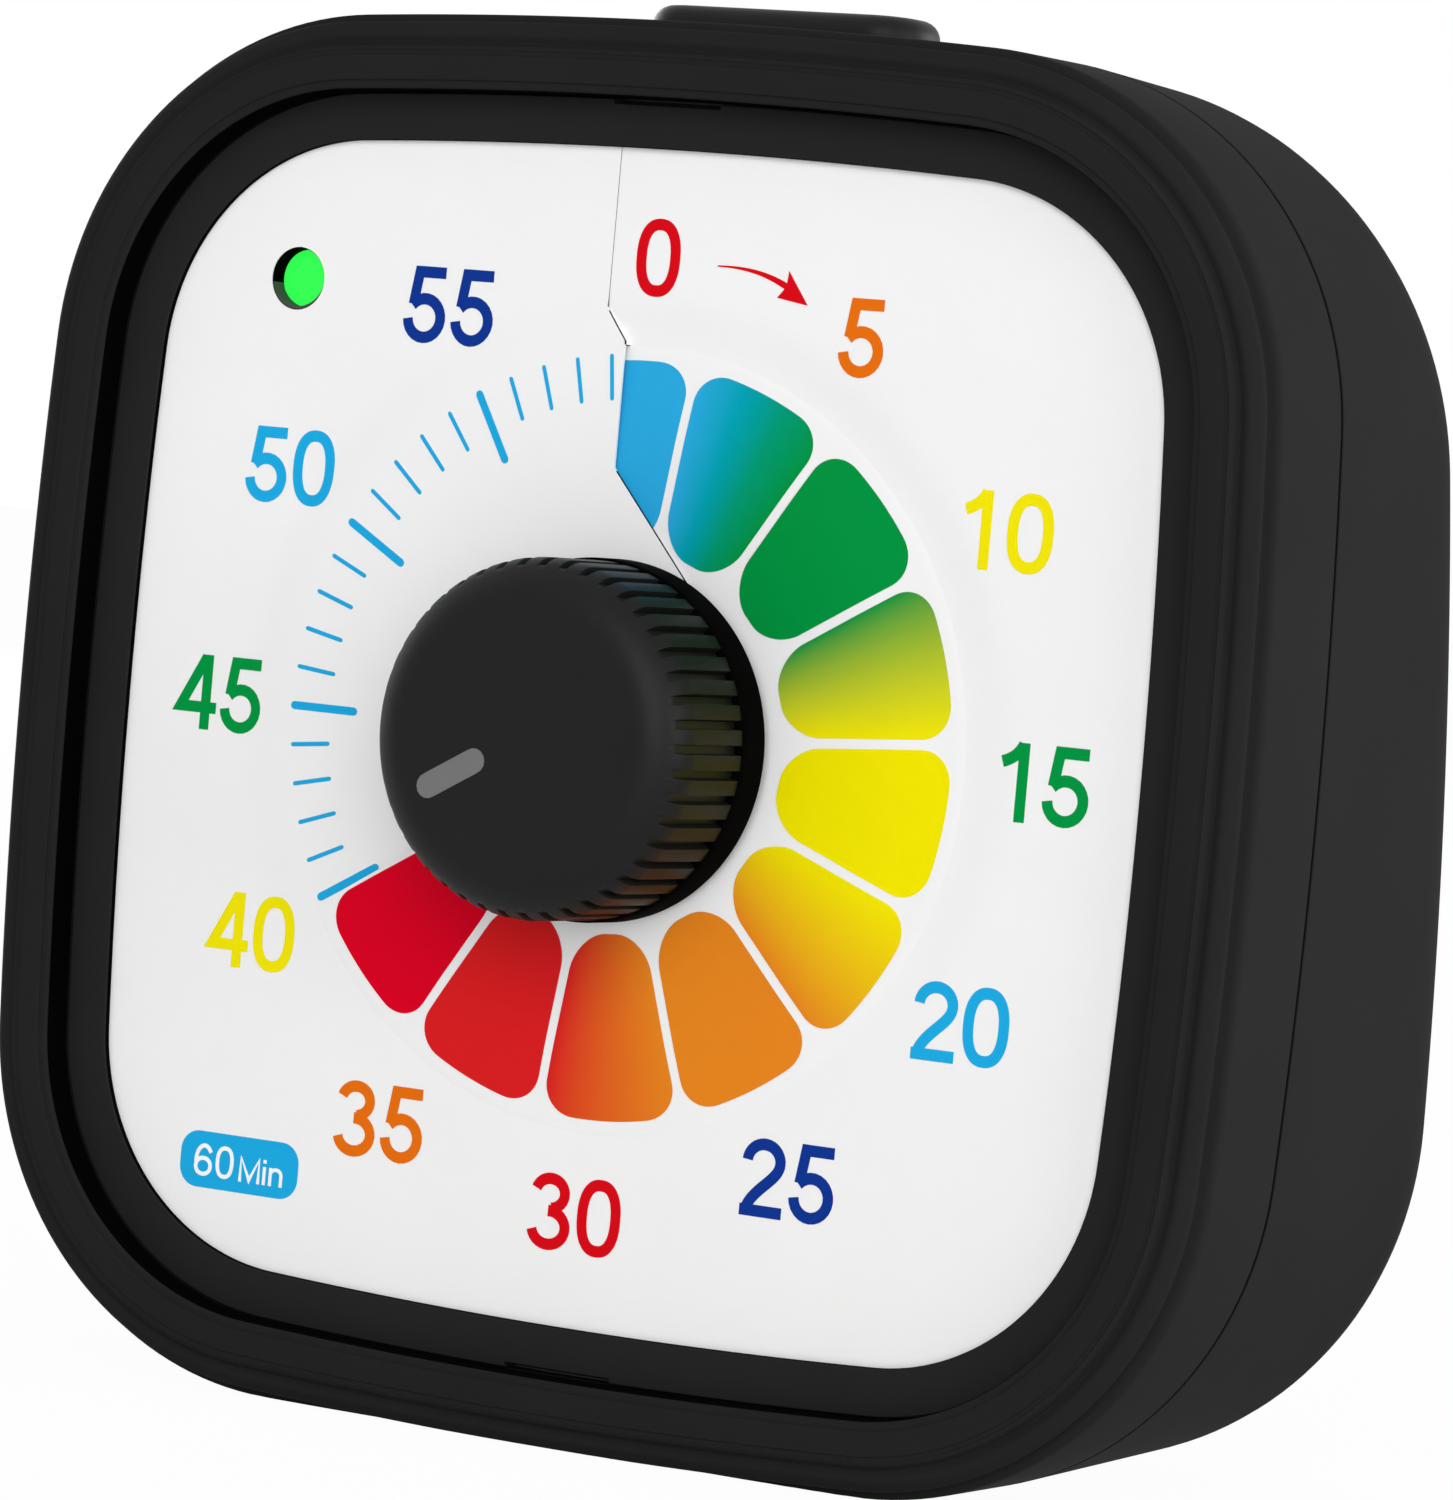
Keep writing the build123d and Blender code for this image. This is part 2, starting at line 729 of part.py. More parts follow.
def board_screws():
    screws = []
    for x, z in board_post_places:
        shank = peg(x, z, screw_radius, board_front - board_screw_grip, board_back)
        screws.append(shank + peg(x, z, screw_head_radius, board_back, board_back + screw_head))
    return Compound(children=screws)


def indicator_lens():
    front = dial_y + lens_sink
    lens = peg(lamp_x, lamp_z, lamp_hole_radius - lamp_gap, front, front + lens_length)
    return lens + peg(lamp_x, lamp_z, lens_flange_radius, carrier_back, carrier_back + lens_flange)


def indicator_led():
    tip = dial_y + lens_sink + lens_length + led_gap
    dome = Pos(lamp_x, tip + led_radius, centre_z + lamp_z) * Sphere(led_radius)
    led = dome + peg(lamp_x, lamp_z, led_radius, tip + led_radius, board_front)
    led += peg(lamp_x, lamp_z, led_flange_radius, board_front - led_flange, board_front)
    for side in (-1, 1):
        lead = beside(lamp_x + side * led_lead_pitch / 2, lamp_z, Rectangle(led_lead, led_lead))
        led += slab(lead, board_front, board_back + led_lead_tail)
    return led


def button_switch():
    depth = 2 * (board_front - button_y)
    shape = beside(0, switch_top - switch_height / 2, Rectangle(switch_width, switch_height))
    body = slab(shape, board_front - depth, board_front)
    well = plunger_radius + running_gap
    hole = Pos(0, button_y, centre_z + switch_top - plunger_depth - button_flange) * Circle(well)
    return body - extrude(hole, amount=plunger_depth + button_flange + cut_overrun)


def switch_plunger():
    foot = Pos(0, button_y, centre_z + switch_top - plunger_depth) * Circle(plunger_radius)
    return extrude(foot, amount=button_under - switch_top + plunger_depth)


def buzzer():
    can = peg(buzzer_x, buzzer_z, buzzer_radius, board_back, board_back + buzzer_height)
    back = board_back + buzzer_height
    return can - peg(buzzer_x, buzzer_z, buzzer_port_radius, back - buzzer_port_depth, back + cut_overrun)


# Top button
def top_button():
    top = wall_top + button_proud
    cap = RectangleRounded(button_width, button_length, button_corner)
    body = extrude(Pos(0, button_y, centre_z + button_under) * cap, amount=top - button_under)
    body = fillet(body.edges().group_by(Axis.Z)[-1], button_round)
    rim = RectangleRounded(
        button_width + 2 * button_flange, button_length + 2 * button_flange, button_corner + button_flange
    )
    return body + extrude(Pos(0, button_y, centre_z + button_under) * rim, amount=button_flange_thick)


# Battery
def along_x(x, radius, length):
    place = Plane(origin=(x, cell_y, centre_z - cell_drop), x_dir=(0, 1, 0), z_dir=(1, 0, 0))
    return extrude(place * Circle(radius), amount=length)


def battery_cell():
    nub_end = bay_half - contact_thick
    can = along_x(nub_end - cell_length, cell_diameter / 2, cell_length - cell_nub_length)
    can = chamfer(can.edges().filter_by(GeomType.CIRCLE), cell_edge)
    return can + along_x(nub_end - cell_nub_length, cell_nub_diameter / 2, cell_nub_length)


def battery_contact():
    plate = Box(contact_thick, contact_size, contact_size)
    return Pos(bay_half - contact_thick / 2, cell_y, centre_z - cell_drop) * plate


def battery_spring():
    # A bowed leaf: its ends stand on the wall of the bay and its crown presses on the cell
    foot = -bay_half
    crown = foot + spring_length
    end = spring_chord / 2
    outer = ThreePointArc((foot, -end), (crown, 0), (foot, end))
    inner = ThreePointArc((foot, end - spring_sheet), (crown - spring_sheet, 0), (foot, spring_sheet - end))
    steps = [Line((foot, end), (foot, end - spring_sheet)), Line((foot, spring_sheet - end), (foot, -end))]
    leaf = beside(0, -cell_drop, make_face([outer, inner] + steps))
    return slab(leaf, cell_y - spring_width / 2, cell_y + spring_width / 2)


def battery_door():
    door = on_the_back(0, -cell_drop, RectangleRounded(door_width, door_height, door_corner), 0, door_thick)
    grip = Plane(
        origin=(-door_grip_width / 2, 0, 0), x_dir=(0, 1, 0), z_dir=(1, 0, 0)
    ) * Circle(door_grip_radius)
    bar = extrude(grip, amount=door_grip_width)
    rise = door_grip_radius - door_grip_sink
    return door - rear_face * Pos(0, (door_height / 4 - cell_drop) * up_the_back, rise) * bar


# Volume switch
def volume_switch():
    shape = Rectangle(volume_body_length, volume_body_height)
    body = on_the_back(volume_x, volume_z, shape, case_wall, case_wall + volume_body_depth)
    length = volume_cap_length + 2 * volume_travel + 2 * volume_gap
    well = Rectangle(length, volume_cap_height + 2 * volume_gap)
    return body - on_the_back(volume_x, volume_z, well, 0, case_wall + volume_stem_depth + volume_gap)


def volume_slider():
    shape = Rectangle(volume_cap_length, volume_cap_height)
    return on_the_back(volume_x, volume_z, shape, -volume_cap_proud, case_wall + volume_stem_depth)


pieces = [
    front_shell,
    rear_shell,
    case_screws,
    dial_frame,
    dial,
    time_disc,
    disc_hub,
    dial_carrier,
    knob,
    arbor,
    arbor_bush,
    bush_nut,
    arbor_wheel,
    clutch_spring,
    arbor_clip,
    idler_gear,
    idler_pin,
    motor_pinion,
    motor_can,
    movement_plate,
    movement_cover,
    movement_screws,
    main_board,
    board_screws,
    indicator_lens,
    indicator_led,
    button_switch,
    switch_plunger,
    buzzer,
    top_button,
    battery_cell,
    battery_contact,
    battery_spring,
    battery_door,
    volume_switch,
    volume_slider,
]

os.makedirs("parts", exist_ok=True)
for piece in pieces:
    export_step(piece(), "parts/" + piece.__name__ + ".step")
print("dial plane at y", dial_y, "dial centre at z", centre_z, "sheet pitch", sheet_pitch)
print("idler at", idler_x, idler_z, "motor at", motor_x, motor_z, "from the dial centre")
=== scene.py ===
import json
import math

import bmesh
import bpy
import numpy as np
from mathutils import Matrix, Vector


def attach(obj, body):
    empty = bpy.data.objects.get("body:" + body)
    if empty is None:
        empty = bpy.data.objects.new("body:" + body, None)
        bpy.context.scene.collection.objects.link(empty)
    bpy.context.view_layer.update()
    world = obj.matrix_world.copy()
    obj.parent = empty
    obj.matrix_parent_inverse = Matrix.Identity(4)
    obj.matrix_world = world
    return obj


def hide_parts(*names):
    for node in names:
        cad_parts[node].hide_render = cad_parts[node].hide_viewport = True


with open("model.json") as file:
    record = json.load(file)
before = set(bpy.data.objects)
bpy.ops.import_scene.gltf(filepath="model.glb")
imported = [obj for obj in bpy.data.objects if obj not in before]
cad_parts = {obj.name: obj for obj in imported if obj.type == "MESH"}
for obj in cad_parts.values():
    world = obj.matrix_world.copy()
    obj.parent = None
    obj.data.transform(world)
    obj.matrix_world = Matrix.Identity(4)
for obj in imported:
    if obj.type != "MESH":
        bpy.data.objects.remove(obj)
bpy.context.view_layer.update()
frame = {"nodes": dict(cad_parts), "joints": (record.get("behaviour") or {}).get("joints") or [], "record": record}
nodes = frame["nodes"]
knobTurn = next(joint for joint in frame["joints"] if joint["name"] == "knob_turn")
dialCentre = np.array(knobTurn["pos_m"]) * 1000
print("frame loaded, dial centre in mm:", dialCentre.round(2))

# Every place below is in mm from the dial's centre: x to the right, y to the back, z up.


# Meshes

def gridFaces(rows, columns, loopRows=False, loopColumns=False):
    # quads between neighbouring points of a grid; a looped side joins its end to its start
    row = np.arange(rows if loopRows else rows - 1)[:, None]
    column = np.arange(columns if loopColumns else columns - 1)[None, :]
    nextRow = (row + 1) % rows
    nextColumn = (column + 1) % columns
    corners = [
        row * columns + column,
        row * columns + nextColumn,
        nextRow * columns + nextColumn,
        nextRow * columns + column,
    ]
    return np.stack(np.broadcast_arrays(*corners), -1).reshape(-1, 4).tolist()


def copiedFaces(points, *looped):
    # the same faces for each of several grids of one size
    one = np.array(gridFaces(*points.shape[1:3], *looped))
    step = points.shape[1] * points.shape[2]
    return (one + step * np.arange(len(points))[:, None, None]).reshape(-1, 4).tolist()


def softShade(mesh, sharp):
    mesh.shade_smooth()
    mesh.set_sharp_from_angle(angle=math.radians(sharp))


def makeMesh(name, points, faces, closed=True, tint=None, sharp=35):
    # doubles are merged, closed shapes face outwards and open sheets face the front
    where = (np.asarray(points, float).reshape(-1, 3) + dialCentre) / 1000
    mesh = bpy.data.meshes.new(name)
    mesh.from_pydata(where.tolist(), [], faces)
    if tint is not None:
        colours = mesh.attributes.new("tint", "FLOAT_COLOR", "POINT")
        colours.data.foreach_set("color", np.asarray(tint, np.float32).ravel())
    work = bmesh.new()
    work.from_mesh(mesh)
    bmesh.ops.remove_doubles(work, verts=work.verts, dist=1e-7)
    if closed:
        bmesh.ops.recalc_face_normals(work, faces=work.faces)
    else:
        work.normal_update()
        bmesh.ops.reverse_faces(work, faces=[face for face in work.faces if face.normal.y > 0])
    work.to_mesh(mesh)
    work.free()
    softShade(mesh, sharp)
    piece = bpy.data.objects.new(name, mesh)
    bpy.context.scene.collection.objects.link(piece)
    return piece


def skinMesh(name, skin, loopRows=True, sharp=35):
    # a grid of points closed round its columns, and round its rows unless they end in poles
    return makeMesh(name, skin, gridFaces(*skin.shape[:2], loopRows, True), sharp=sharp)


def stackMesh(name, loops):
    # matching loops of points joined in order, with a cap on the first and on the last
    loops = np.asarray(loops, float)
    count, around = loops.shape[:2]
    caps = [list(range(around)), list(range((count - 1) * around, count * around))]
    return makeMesh(name, loops, gridFaces(count, around, loopColumns=True) + caps)


def fit(piece, finish, body, slot, *replaced):
    piece.data.materials.clear()
    piece.data.materials.append(finish)
    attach(piece, body)
    if replaced:
        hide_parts(*replaced)
    return piece


def settle(piece, sharp=35):
    # what the modifiers make becomes the piece's own mesh
    graph = bpy.context.evaluated_depsgraph_get()
    made = bpy.data.meshes.new_from_object(piece.evaluated_get(graph), depsgraph=graph)
    piece.modifiers.clear()
    piece.data = made
    softShade(made, sharp)
    return piece


def thicken(piece, thickness):
    sheet = piece.modifiers.new("sheet", "SOLIDIFY")
    sheet.thickness = thickness / 1000
    sheet.offset = -1
    return settle(piece)


def cutOut(piece, cutters):
    for cutter in cutters:
        cut = piece.modifiers.new("cut", "BOOLEAN")
        cut.operation = "DIFFERENCE"
        cut.solver = "EXACT"
        cut.object = cutter
    settle(piece)
    for cutter in cutters:
        bpy.data.objects.remove(cutter)
    return piece


# Lines and loops

def softPath(corners, steps=6):
    # a corner of radius r becomes an arc: the conic between its tangent points, weight cos(half the turn)
    corners = np.array(corners, float)
    place = corners[:, :2]
    back = np.roll(place, 1, 0) - place
    ahead = np.roll(place, -1, 0) - place
    back /= np.linalg.norm(back, axis=1)[:, None]
    ahead /= np.linalg.norm(ahead, axis=1)[:, None]
    half = np.arccos(np.clip(-(back * ahead).sum(1), -1, 1)) / 2
    reach = (corners[:, 2] * np.tan(half))[:, None]
    t = np.linspace(0, 1, steps + 1)[None, :, None]
    first = (1 - t) ** 2
    middle = 2 * np.cos(half)[:, None, None] * t * (1 - t)
    last = t ** 2
    start = (place + back * reach)[:, None]
    end = (place + ahead * reach)[:, None]
    path = (first * start + middle * place[:, None] + last * end) / (first + middle + last)
    path = path.reshape(-1, 2)
    gap = np.linalg.norm(path - np.roll(path, 1, 0), axis=1)
    return path[gap > 1e-6]


def roundBox(width, height, corner, steps=8):
    # a rectangle whose corners are quarter circles
    quarter = np.arange(4)[:, None] * math.pi / 2
    angle = quarter + np.linspace(0, math.pi / 2, steps + 1)[None, :]
    signX = np.array([1, -1, -1, 1])[:, None]
    signY = np.array([1, 1, -1, -1])[:, None]
    x = signX * (width / 2 - corner) + corner * np.cos(angle)
    y = signY * (height / 2 - corner) + corner * np.sin(angle)
    return np.stack([x.ravel(), y.ravel()], -1)


def circleLoop(radius, steps=48):
    # radius times (cos angle, sin angle), once round
    angle = np.linspace(0, 2 * math.pi, steps, endpoint=False)
    return radius * np.stack([np.cos(angle), np.sin(angle)], -1)


def uprightLoop(loop, x, y, z):
    # a flat loop that faces along y
    return np.stack([x + loop[:, 0], np.full(len(loop), y), z + loop[:, 1]], -1)


def levelLoop(loop, y, z):
    # a flat loop that faces up
    return np.stack([loop[:, 0], y + loop[:, 1], np.full(len(loop), z)], -1)


def clockPoints(clock, radius, y):
    # clock angles are in degrees, from straight up round to the right
    angle = np.radians(clock)
    return np.stack(np.broadcast_arrays(radius * np.sin(angle), y, radius * np.cos(angle)), -1)


def revolve(profile, columns):
    # each (radius, depth) of the profile goes round the knob's axis, which runs along y
    clock = np.linspace(0, 360, columns, endpoint=False)[None, :]
    return clockPoints(clock, profile[:, :1], profile[:, 1:])


def softSteps(count):
    # shares from 0 to 1, closer together near both ends: (1 - cos(pi t)) / 2
    return (1 - np.cos(np.linspace(0, math.pi, count))) / 2


def sCurve(value, start, end):
    # 0 up to the start, 1 from the end on, 3 t^2 - 2 t^3 between them
    share = np.clip((value - start) / (end - start), 0, 1)
    return share ** 2 * (3 - 2 * share)


def cornerLoss(corner, fromEnd):
    # what a round corner of radius r takes off at a distance d from the end: r - sqrt(r^2 - (r - d)^2)
    return corner - np.sqrt(corner ** 2 - np.maximum(corner - fromEnd, 0) ** 2)


def uprightCutter(loop, x, z, near, far):
    # a flat loop drawn out along y, to be cut away
    return stackMesh("cutter", [uprightLoop(loop, x, y, z) for y in (near, far)])


# Finishes

finishForm = {
    "noiseSpan": (0.3, 0.7),     # most of a noise's values lie here
    "polishSpread": 0.012,
    "metalSpread": 0.08,
    "metalStretch": (1, 0.08, 1),
    "bumpStrength": 0.6,
    "inkThin": 0.985,
    "inkGrain": 1.2,
    "inkBump": (0.3, 0.002),     # width and depth of its grain
    "inkRough": 0.55,
    "inkSpecular": 0.03,
    "lensGlow": 0.85,
}


def srgb(red, green, blue):
    share = np.array([red, green, blue]) / 255
    bright = ((share + 0.055) / 1.055) ** 2.4
    return tuple(np.where(share <= 0.04045, share / 12.92, bright)) + (1.0,)


def grey(level):
    return srgb(level, level, level)


def startFinish(name):
    finish = bpy.data.materials.new(name)
    finish.use_nodes = True
    return finish, finish.node_tree, finish.node_tree.nodes["Principled BSDF"]


def grainNoise(tree, size, detail=3):
    # noise on Object coordinates; size is the width of a grain in mm
    place = tree.nodes.new("ShaderNodeTexCoord")
    noise = tree.nodes.new("ShaderNodeTexNoise")
    noise.inputs["Scale"].default_value = 1000 / size
    noise.inputs["Detail"].default_value = detail
    tree.links.new(place.outputs["Object"], noise.inputs["Vector"])
    return noise.outputs["Fac"]


def spread(tree, value, low, high):
    # a noise value spread over low to high
    span = tree.nodes.new("ShaderNodeMapRange")
    limits = (*finishForm["noiseSpan"], low, high)
    for socket, limit in zip(("From Min", "From Max", "To Min", "To Max"), limits):
        span.inputs[socket].default_value = limit
    tree.links.new(value, span.inputs["Value"])
    return span.outputs["Result"]


def colourMix(tree, shader):
    mix = tree.nodes.new("ShaderNodeMix")
    mix.data_type = "RGBA"
    tree.links.new(mix.outputs["Result"], shader.inputs["Base Color"])
    return mix


def mottle(tree, shader, value, dark, light):
    mix = colourMix(tree, shader)
    tree.links.new(value, mix.inputs["Factor"])
    mix.inputs["A"].default_value = dark
    mix.inputs["B"].default_value = light


def addGrain(tree, shader, size, depth):
    bump = tree.nodes.new("ShaderNodeBump")
    bump.inputs["Distance"].default_value = depth / 1000
    bump.inputs["Strength"].default_value = finishForm["bumpStrength"]
    tree.links.new(grainNoise(tree, size, 2), bump.inputs["Height"])
    tree.links.new(bump.outputs["Normal"], shader.inputs["Normal"])


def mouldedPlastic(name, dark, light, rough, specular, grain, grainDepth, broad=9):
    # moulded plastic: broad faint mottling, uneven polish and a fine spark-eroded grain
    finish, tree, shader = startFinish(name)
    mottle(tree, shader, grainNoise(tree, broad), dark, light)
    uneven = finishForm["polishSpread"]
    polish = spread(tree, grainNoise(tree, broad / 4), rough - uneven, rough + uneven)
    tree.links.new(polish, shader.inputs["Roughness"])
    shader.inputs["Specular IOR Level"].default_value = specular
    addGrain(tree, shader, grain, grainDepth)
    return finish


def metalFinish(name, dark, light, rough, streak):
    # bare metal with drawn streaks along y
    finish, tree, shader = startFinish(name)
    value = grainNoise(tree, streak)
    vector = value.node.inputs["Vector"]
    stretch = tree.nodes.new("ShaderNodeMapping")
    stretch.inputs["Scale"].default_value = finishForm["metalStretch"]
    tree.links.new(vector.links[0].from_socket, stretch.inputs["Vector"])
    tree.links.new(stretch.outputs["Vector"], vector)
    mottle(tree, shader, value, dark, light)
    uneven = finishForm["metalSpread"]
    tree.links.new(spread(tree, value, rough - uneven, rough + uneven), shader.inputs["Roughness"])
    shader.inputs["Metallic"].default_value = 1.0
    return finish


def printFinish(name):
    # screen print: the colour comes from the piece's own tint, thinned a little by the sheet's grain
    finish, tree, shader = startFinish(name)
    tint = tree.nodes.new("ShaderNodeAttribute")
    tint.attribute_name = "tint"
    mix = colourMix(tree, shader)
    mix.blend_type = "MULTIPLY"
    mix.inputs["Factor"].default_value = 1.0
    tree.links.new(tint.outputs["Color"], mix.inputs["A"])
    film = grainNoise(tree, finishForm["inkGrain"])
    tree.links.new(spread(tree, film, finishForm["inkThin"], 1.0), mix.inputs["B"])
    shader.inputs["Roughness"].default_value = finishForm["inkRough"]
    shader.inputs["Specular IOR Level"].default_value = finishForm["inkSpecular"]
    addGrain(tree, shader, *finishForm["inkBump"])
    return finish


# name, dark and light tone, roughness, specular level, width and depth of the grain, width of the mottling
caseBlack = mouldedPlastic("caseBlack", grey(32), grey(36), 0.8, 0.02, 0.28, 0.01)
frameBlack = mouldedPlastic("frameBlack", grey(34), grey(38), 0.7, 0.02, 0.22, 0.008)
knobBlack = mouldedPlastic("knobBlack", grey(19), grey(23), 0.45, 0.13, 0.2, 0.006)
# painted shade: a near-black that stands in for the shade on the knob's collar, in the opening's throat, in the
# gap between the shells, on the ring's inner edge and in the lamp's hole
paintedShadeBlack = mouldedPlastic("paintedShadeBlack", grey(3), grey(5), 0.8, 0.01, 0.2, 0.004)
# the black of the inner parts, also used for the painted shade line on the slit's cut edge
innerBlackAndSlitShade = mouldedPlastic("innerBlackAndSlitShade", grey(7), grey(11), 0.6, 0.08, 0.3, 0.01)
dialWhite = mouldedPlastic("dialWhite", grey(238), grey(242), 0.55, 0.05, 0.35, 0.003)
# the grey of the knob's index bar, also used for a painted grey shade line on the slit's outer cut edge
markGreyAndSlitShade = mouldedPlastic("markGreyAndSlitShade", grey(104), grey(116), 0.5, 0.1, 0.2, 0.003)
gearWhite = mouldedPlastic("gearWhite", srgb(224, 222, 212), srgb(234, 232, 224), 0.4, 0.3, 0.5, 0.006)
movementGrey = mouldedPlastic("movementGrey", srgb(84, 86, 90), srgb(98, 100, 104), 0.45, 0.3, 0.3, 0.012)
boardGreen = mouldedPlastic("boardGreen", srgb(14, 78, 40), srgb(22, 98, 54), 0.35, 0.4, 1.1, 0.02, 3)
cellWrap = mouldedPlastic("cellWrap", srgb(40, 44, 50), srgb(52, 56, 62), 0.3, 0.5, 0.6, 0.004, 5)
lensGreen = mouldedPlastic("lensGreen", srgb(15, 118, 36), srgb(19, 128, 42), 0.3, 0.1, 0.4, 0.004, 2)
steel = metalFinish("steel", srgb(168, 170, 174), srgb(206, 208, 212), 0.32, 0.5)
brass = metalFinish("brass", srgb(186, 146, 74), srgb(214, 176, 98), 0.3, 0.5)
dialPrint = printFinish("dialPrint")
lensShader = lensGreen.node_tree.nodes["Principled BSDF"]
lensShader.inputs["Emission Color"].default_value = srgb(51, 255, 82)
lensShader.inputs["Emission Strength"].default_value = finishForm["lensGlow"]
print("finishes ready")


# Case outline: a square with bowed sides and round corners

caseForm = {
    "half": 43.0,
    "sideBow": 400.0,
    "corner": 22.0,
    "footDrop": 42.4,   # the flat foot, below the dial's centre
    "sideSteps": 26,
    "cornerSteps": 36,
}
sideCentre = caseForm["half"] - caseForm["sideBow"]


def cornerPlace(corner):
    # the centre of a corner's arc, and half the turn of a bowed side that ends on it
    gap = caseForm["sideBow"] - corner
    centre = (sideCentre + math.sqrt(2 * gap ** 2 - sideCentre ** 2)) / 2
    return centre, math.atan2(centre, centre - sideCentre)


def turnsRound(sideSteps, cornerSteps):
    swing = cornerPlace(caseForm["corner"])[1]
    side = np.linspace(-swing, swing, sideSteps, endpoint=False)
    corner = np.linspace(swing, math.pi / 2 - swing, cornerSteps, endpoint=False)
    quarter = np.concatenate([side, corner])
    return (np.arange(4)[:, None] * math.pi / 2 + quarter[None, :]).ravel()


caseTurns = turnsRound(caseForm["sideSteps"], caseForm["cornerSteps"])


def outline(turn, inset, corner=caseForm["corner"]):
    # the centre of the arc that faces this way, plus (radius - inset) times (cos turn, sin turn)
    cornerCentre, swing = cornerPlace(corner)
    turn, inset = np.broadcast_arrays(turn, inset)
    side = np.round(turn / (math.pi / 2)) * math.pi / 2
    onSide = np.abs(turn - side) <= swing + 1e-9
    centreX = np.where(onSide, sideCentre * np.cos(side), cornerCentre * np.sign(np.cos(turn)))
    centreZ = np.where(onSide, sideCentre * np.sin(side), cornerCentre * np.sign(np.sin(turn)))
    radius = np.where(onSide, caseForm["sideBow"], corner) - inset
    z = np.maximum(centreZ + radius * np.sin(turn), -caseForm["footDrop"])
    return centreX + radius * np.cos(turn), z


def carryRound(profile):
    # each (inset, depth) of a profile goes once round the outline
    x, z = outline(caseTurns[None, :], profile[:, :1])
    return np.stack(np.broadcast_arrays(x, profile[:, 1:], z), -1)


def wallSkin(name, inset, front, back, skin):
    # a thin skin of painted shade that goes round the case, clear of the foot
    profile = np.array([(inset, front), (inset + skin, front), (inset + skin, back), (inset, back)])
    band = carryRound(profile)
    band[..., 2] = np.maximum(band[..., 2], skin - caseForm["footDrop"])
    return skinMesh(name, band)


# Front shell: side wall, a rolled edge with two shallow flutes, a fine groove, the flat band and its ledge

frontForm = {
    "innerInset": 2.55,
    "parting": 7.125,
    "partingEdge": 0.15,
    "bandFront": -2.9,
    "roll": 2.7,
    "rollTurns": (88, 8),                            # degrees from the front
    "rollSteps": 41,
    "flutes": [(21, 0.45, 7.0), (65, 0.48, 7.5)],    # degrees from the front, depth, width in degrees
    "groove": [(2.33, -2.87, 0.03), (2.42, -2.79, 0.02), (2.64, -2.79, 0.02), (2.7, -2.9, 0.03)],
    "ledgeInset": 4.2,
    "ledgeFront": -2.7,
    "ledgeRound": 0.12,
    "ledgeFoot": 0.05,
    "openingInset": 4.7,
    "openingRound": 0.2,
    "shoulder": 1.2,
    "seamInset": 0.05,         # painted shade: a near-black band in the gap between the two shells
    "seamHalf": 0.2,
    "seamSkin": 0.5,
    "throatSkin": 0.03,
    "throatBack": -0.5,
}


def rollPath(form):
    # a quarter circle from the wall to the band; each flute sinks it by depth times exp(-(angle/width)^2)
    turn = np.linspace(*form["rollTurns"], form["rollSteps"])
    sunk = sum(depth * np.exp(-((turn - middle) / width) ** 2) for middle, depth, width in form["flutes"])
    reach = form["roll"] - sunk
    inset = form["roll"] - reach * np.sin(np.radians(turn))
    depth = form["bandFront"] + form["roll"] - reach * np.cos(np.radians(turn))
    return np.stack([inset, depth, np.zeros_like(turn)], -1).tolist()


def frontProfile(form):
    # corners of (inset, depth, rounding) from the parting, over the roll and down into the opening
    return softPath([
        (form["innerInset"], form["parting"], 0),
        (0, form["parting"], form["partingEdge"]),
        (0, form["bandFront"] + form["roll"], 0),
        *rollPath(form),
        *form["groove"],
        (form["ledgeInset"], form["bandFront"], form["ledgeRound"]),
        (form["ledgeInset"], form["ledgeFront"], form["ledgeFoot"]),
        (form["openingInset"], form["ledgeFront"], form["openingRound"]),
        (form["openingInset"], form["shoulder"], 0),
        (form["innerInset"], form["shoulder"], 0),
    ])


def frontThroat(form):
    # painted shade: a near-black skin on the wall of the opening, between the ledge and the ring
    front = form["ledgeFront"] + form["openingRound"]
    return wallSkin("front_throat_shade", form["openingInset"], front, form["throatBack"], form["throatSkin"])


def partingSeam(form):
    # painted shade: a near-black band that fills the gap between the shells, where shade falls
    front = form["parting"] - form["seamHalf"] / 2
    back = front + 2 * form["seamHalf"]
    return wallSkin("parting_seam_shade", form["seamInset"], front, back, form["seamSkin"])


frontShell = skinMesh("front_case", carryRound(frontProfile(frontForm)))
fit(frontShell, caseBlack, "case", "case_black", "front_shell")
fit(frontThroat(frontForm), paintedShadeBlack, "case", "case_black")
fit(partingSeam(frontForm), paintedShadeBlack, "case", "case_black")
print("front case:", len(frontShell.data.polygons), "faces")


# Rear shell: straight wall, a rolled edge and a leaning back, hollow, with its openings cut

rearForm = {
    "backInset": 0.2,      # the wall draws in this much towards the back
    "backCorner": 24.0,    # and its corners get rounder
    "wall": 2.2,
    "parting": 7.275,
    "partingEdge": 0.15,
    "backDepth": 32.0,     # to the back, level with the dial's centre
    "lean": 7.05,          # degrees
    "edgeRound": 8.5,
    "edgeSteps": 16,
    "faceSteps": 6,
}
lean = math.radians(rearForm["lean"])
backOut = np.array([0, math.cos(lean), math.sin(lean)])
backUp = np.array([0, -math.sin(lean), math.cos(lean)])


def onBack(across, up, out):
    # a place on the leaning back: across along x, up along its slope, out along its normal
    across, up, out = np.broadcast_arrays(across, up, out)
    start = np.array([0, rearForm["backDepth"], 0])
    side = np.array([1.0, 0, 0])
    return start + across[..., None] * side + up[..., None] * backUp + out[..., None] * backOut


def upOnBack(z):
    return z / math.cos(lean)


def depthOfBack(z, sink):
    # depth at a height of a plane that lies the sink inside the back
    return rearForm["backDepth"] - (sink + math.sin(lean) * z) / math.cos(lean)


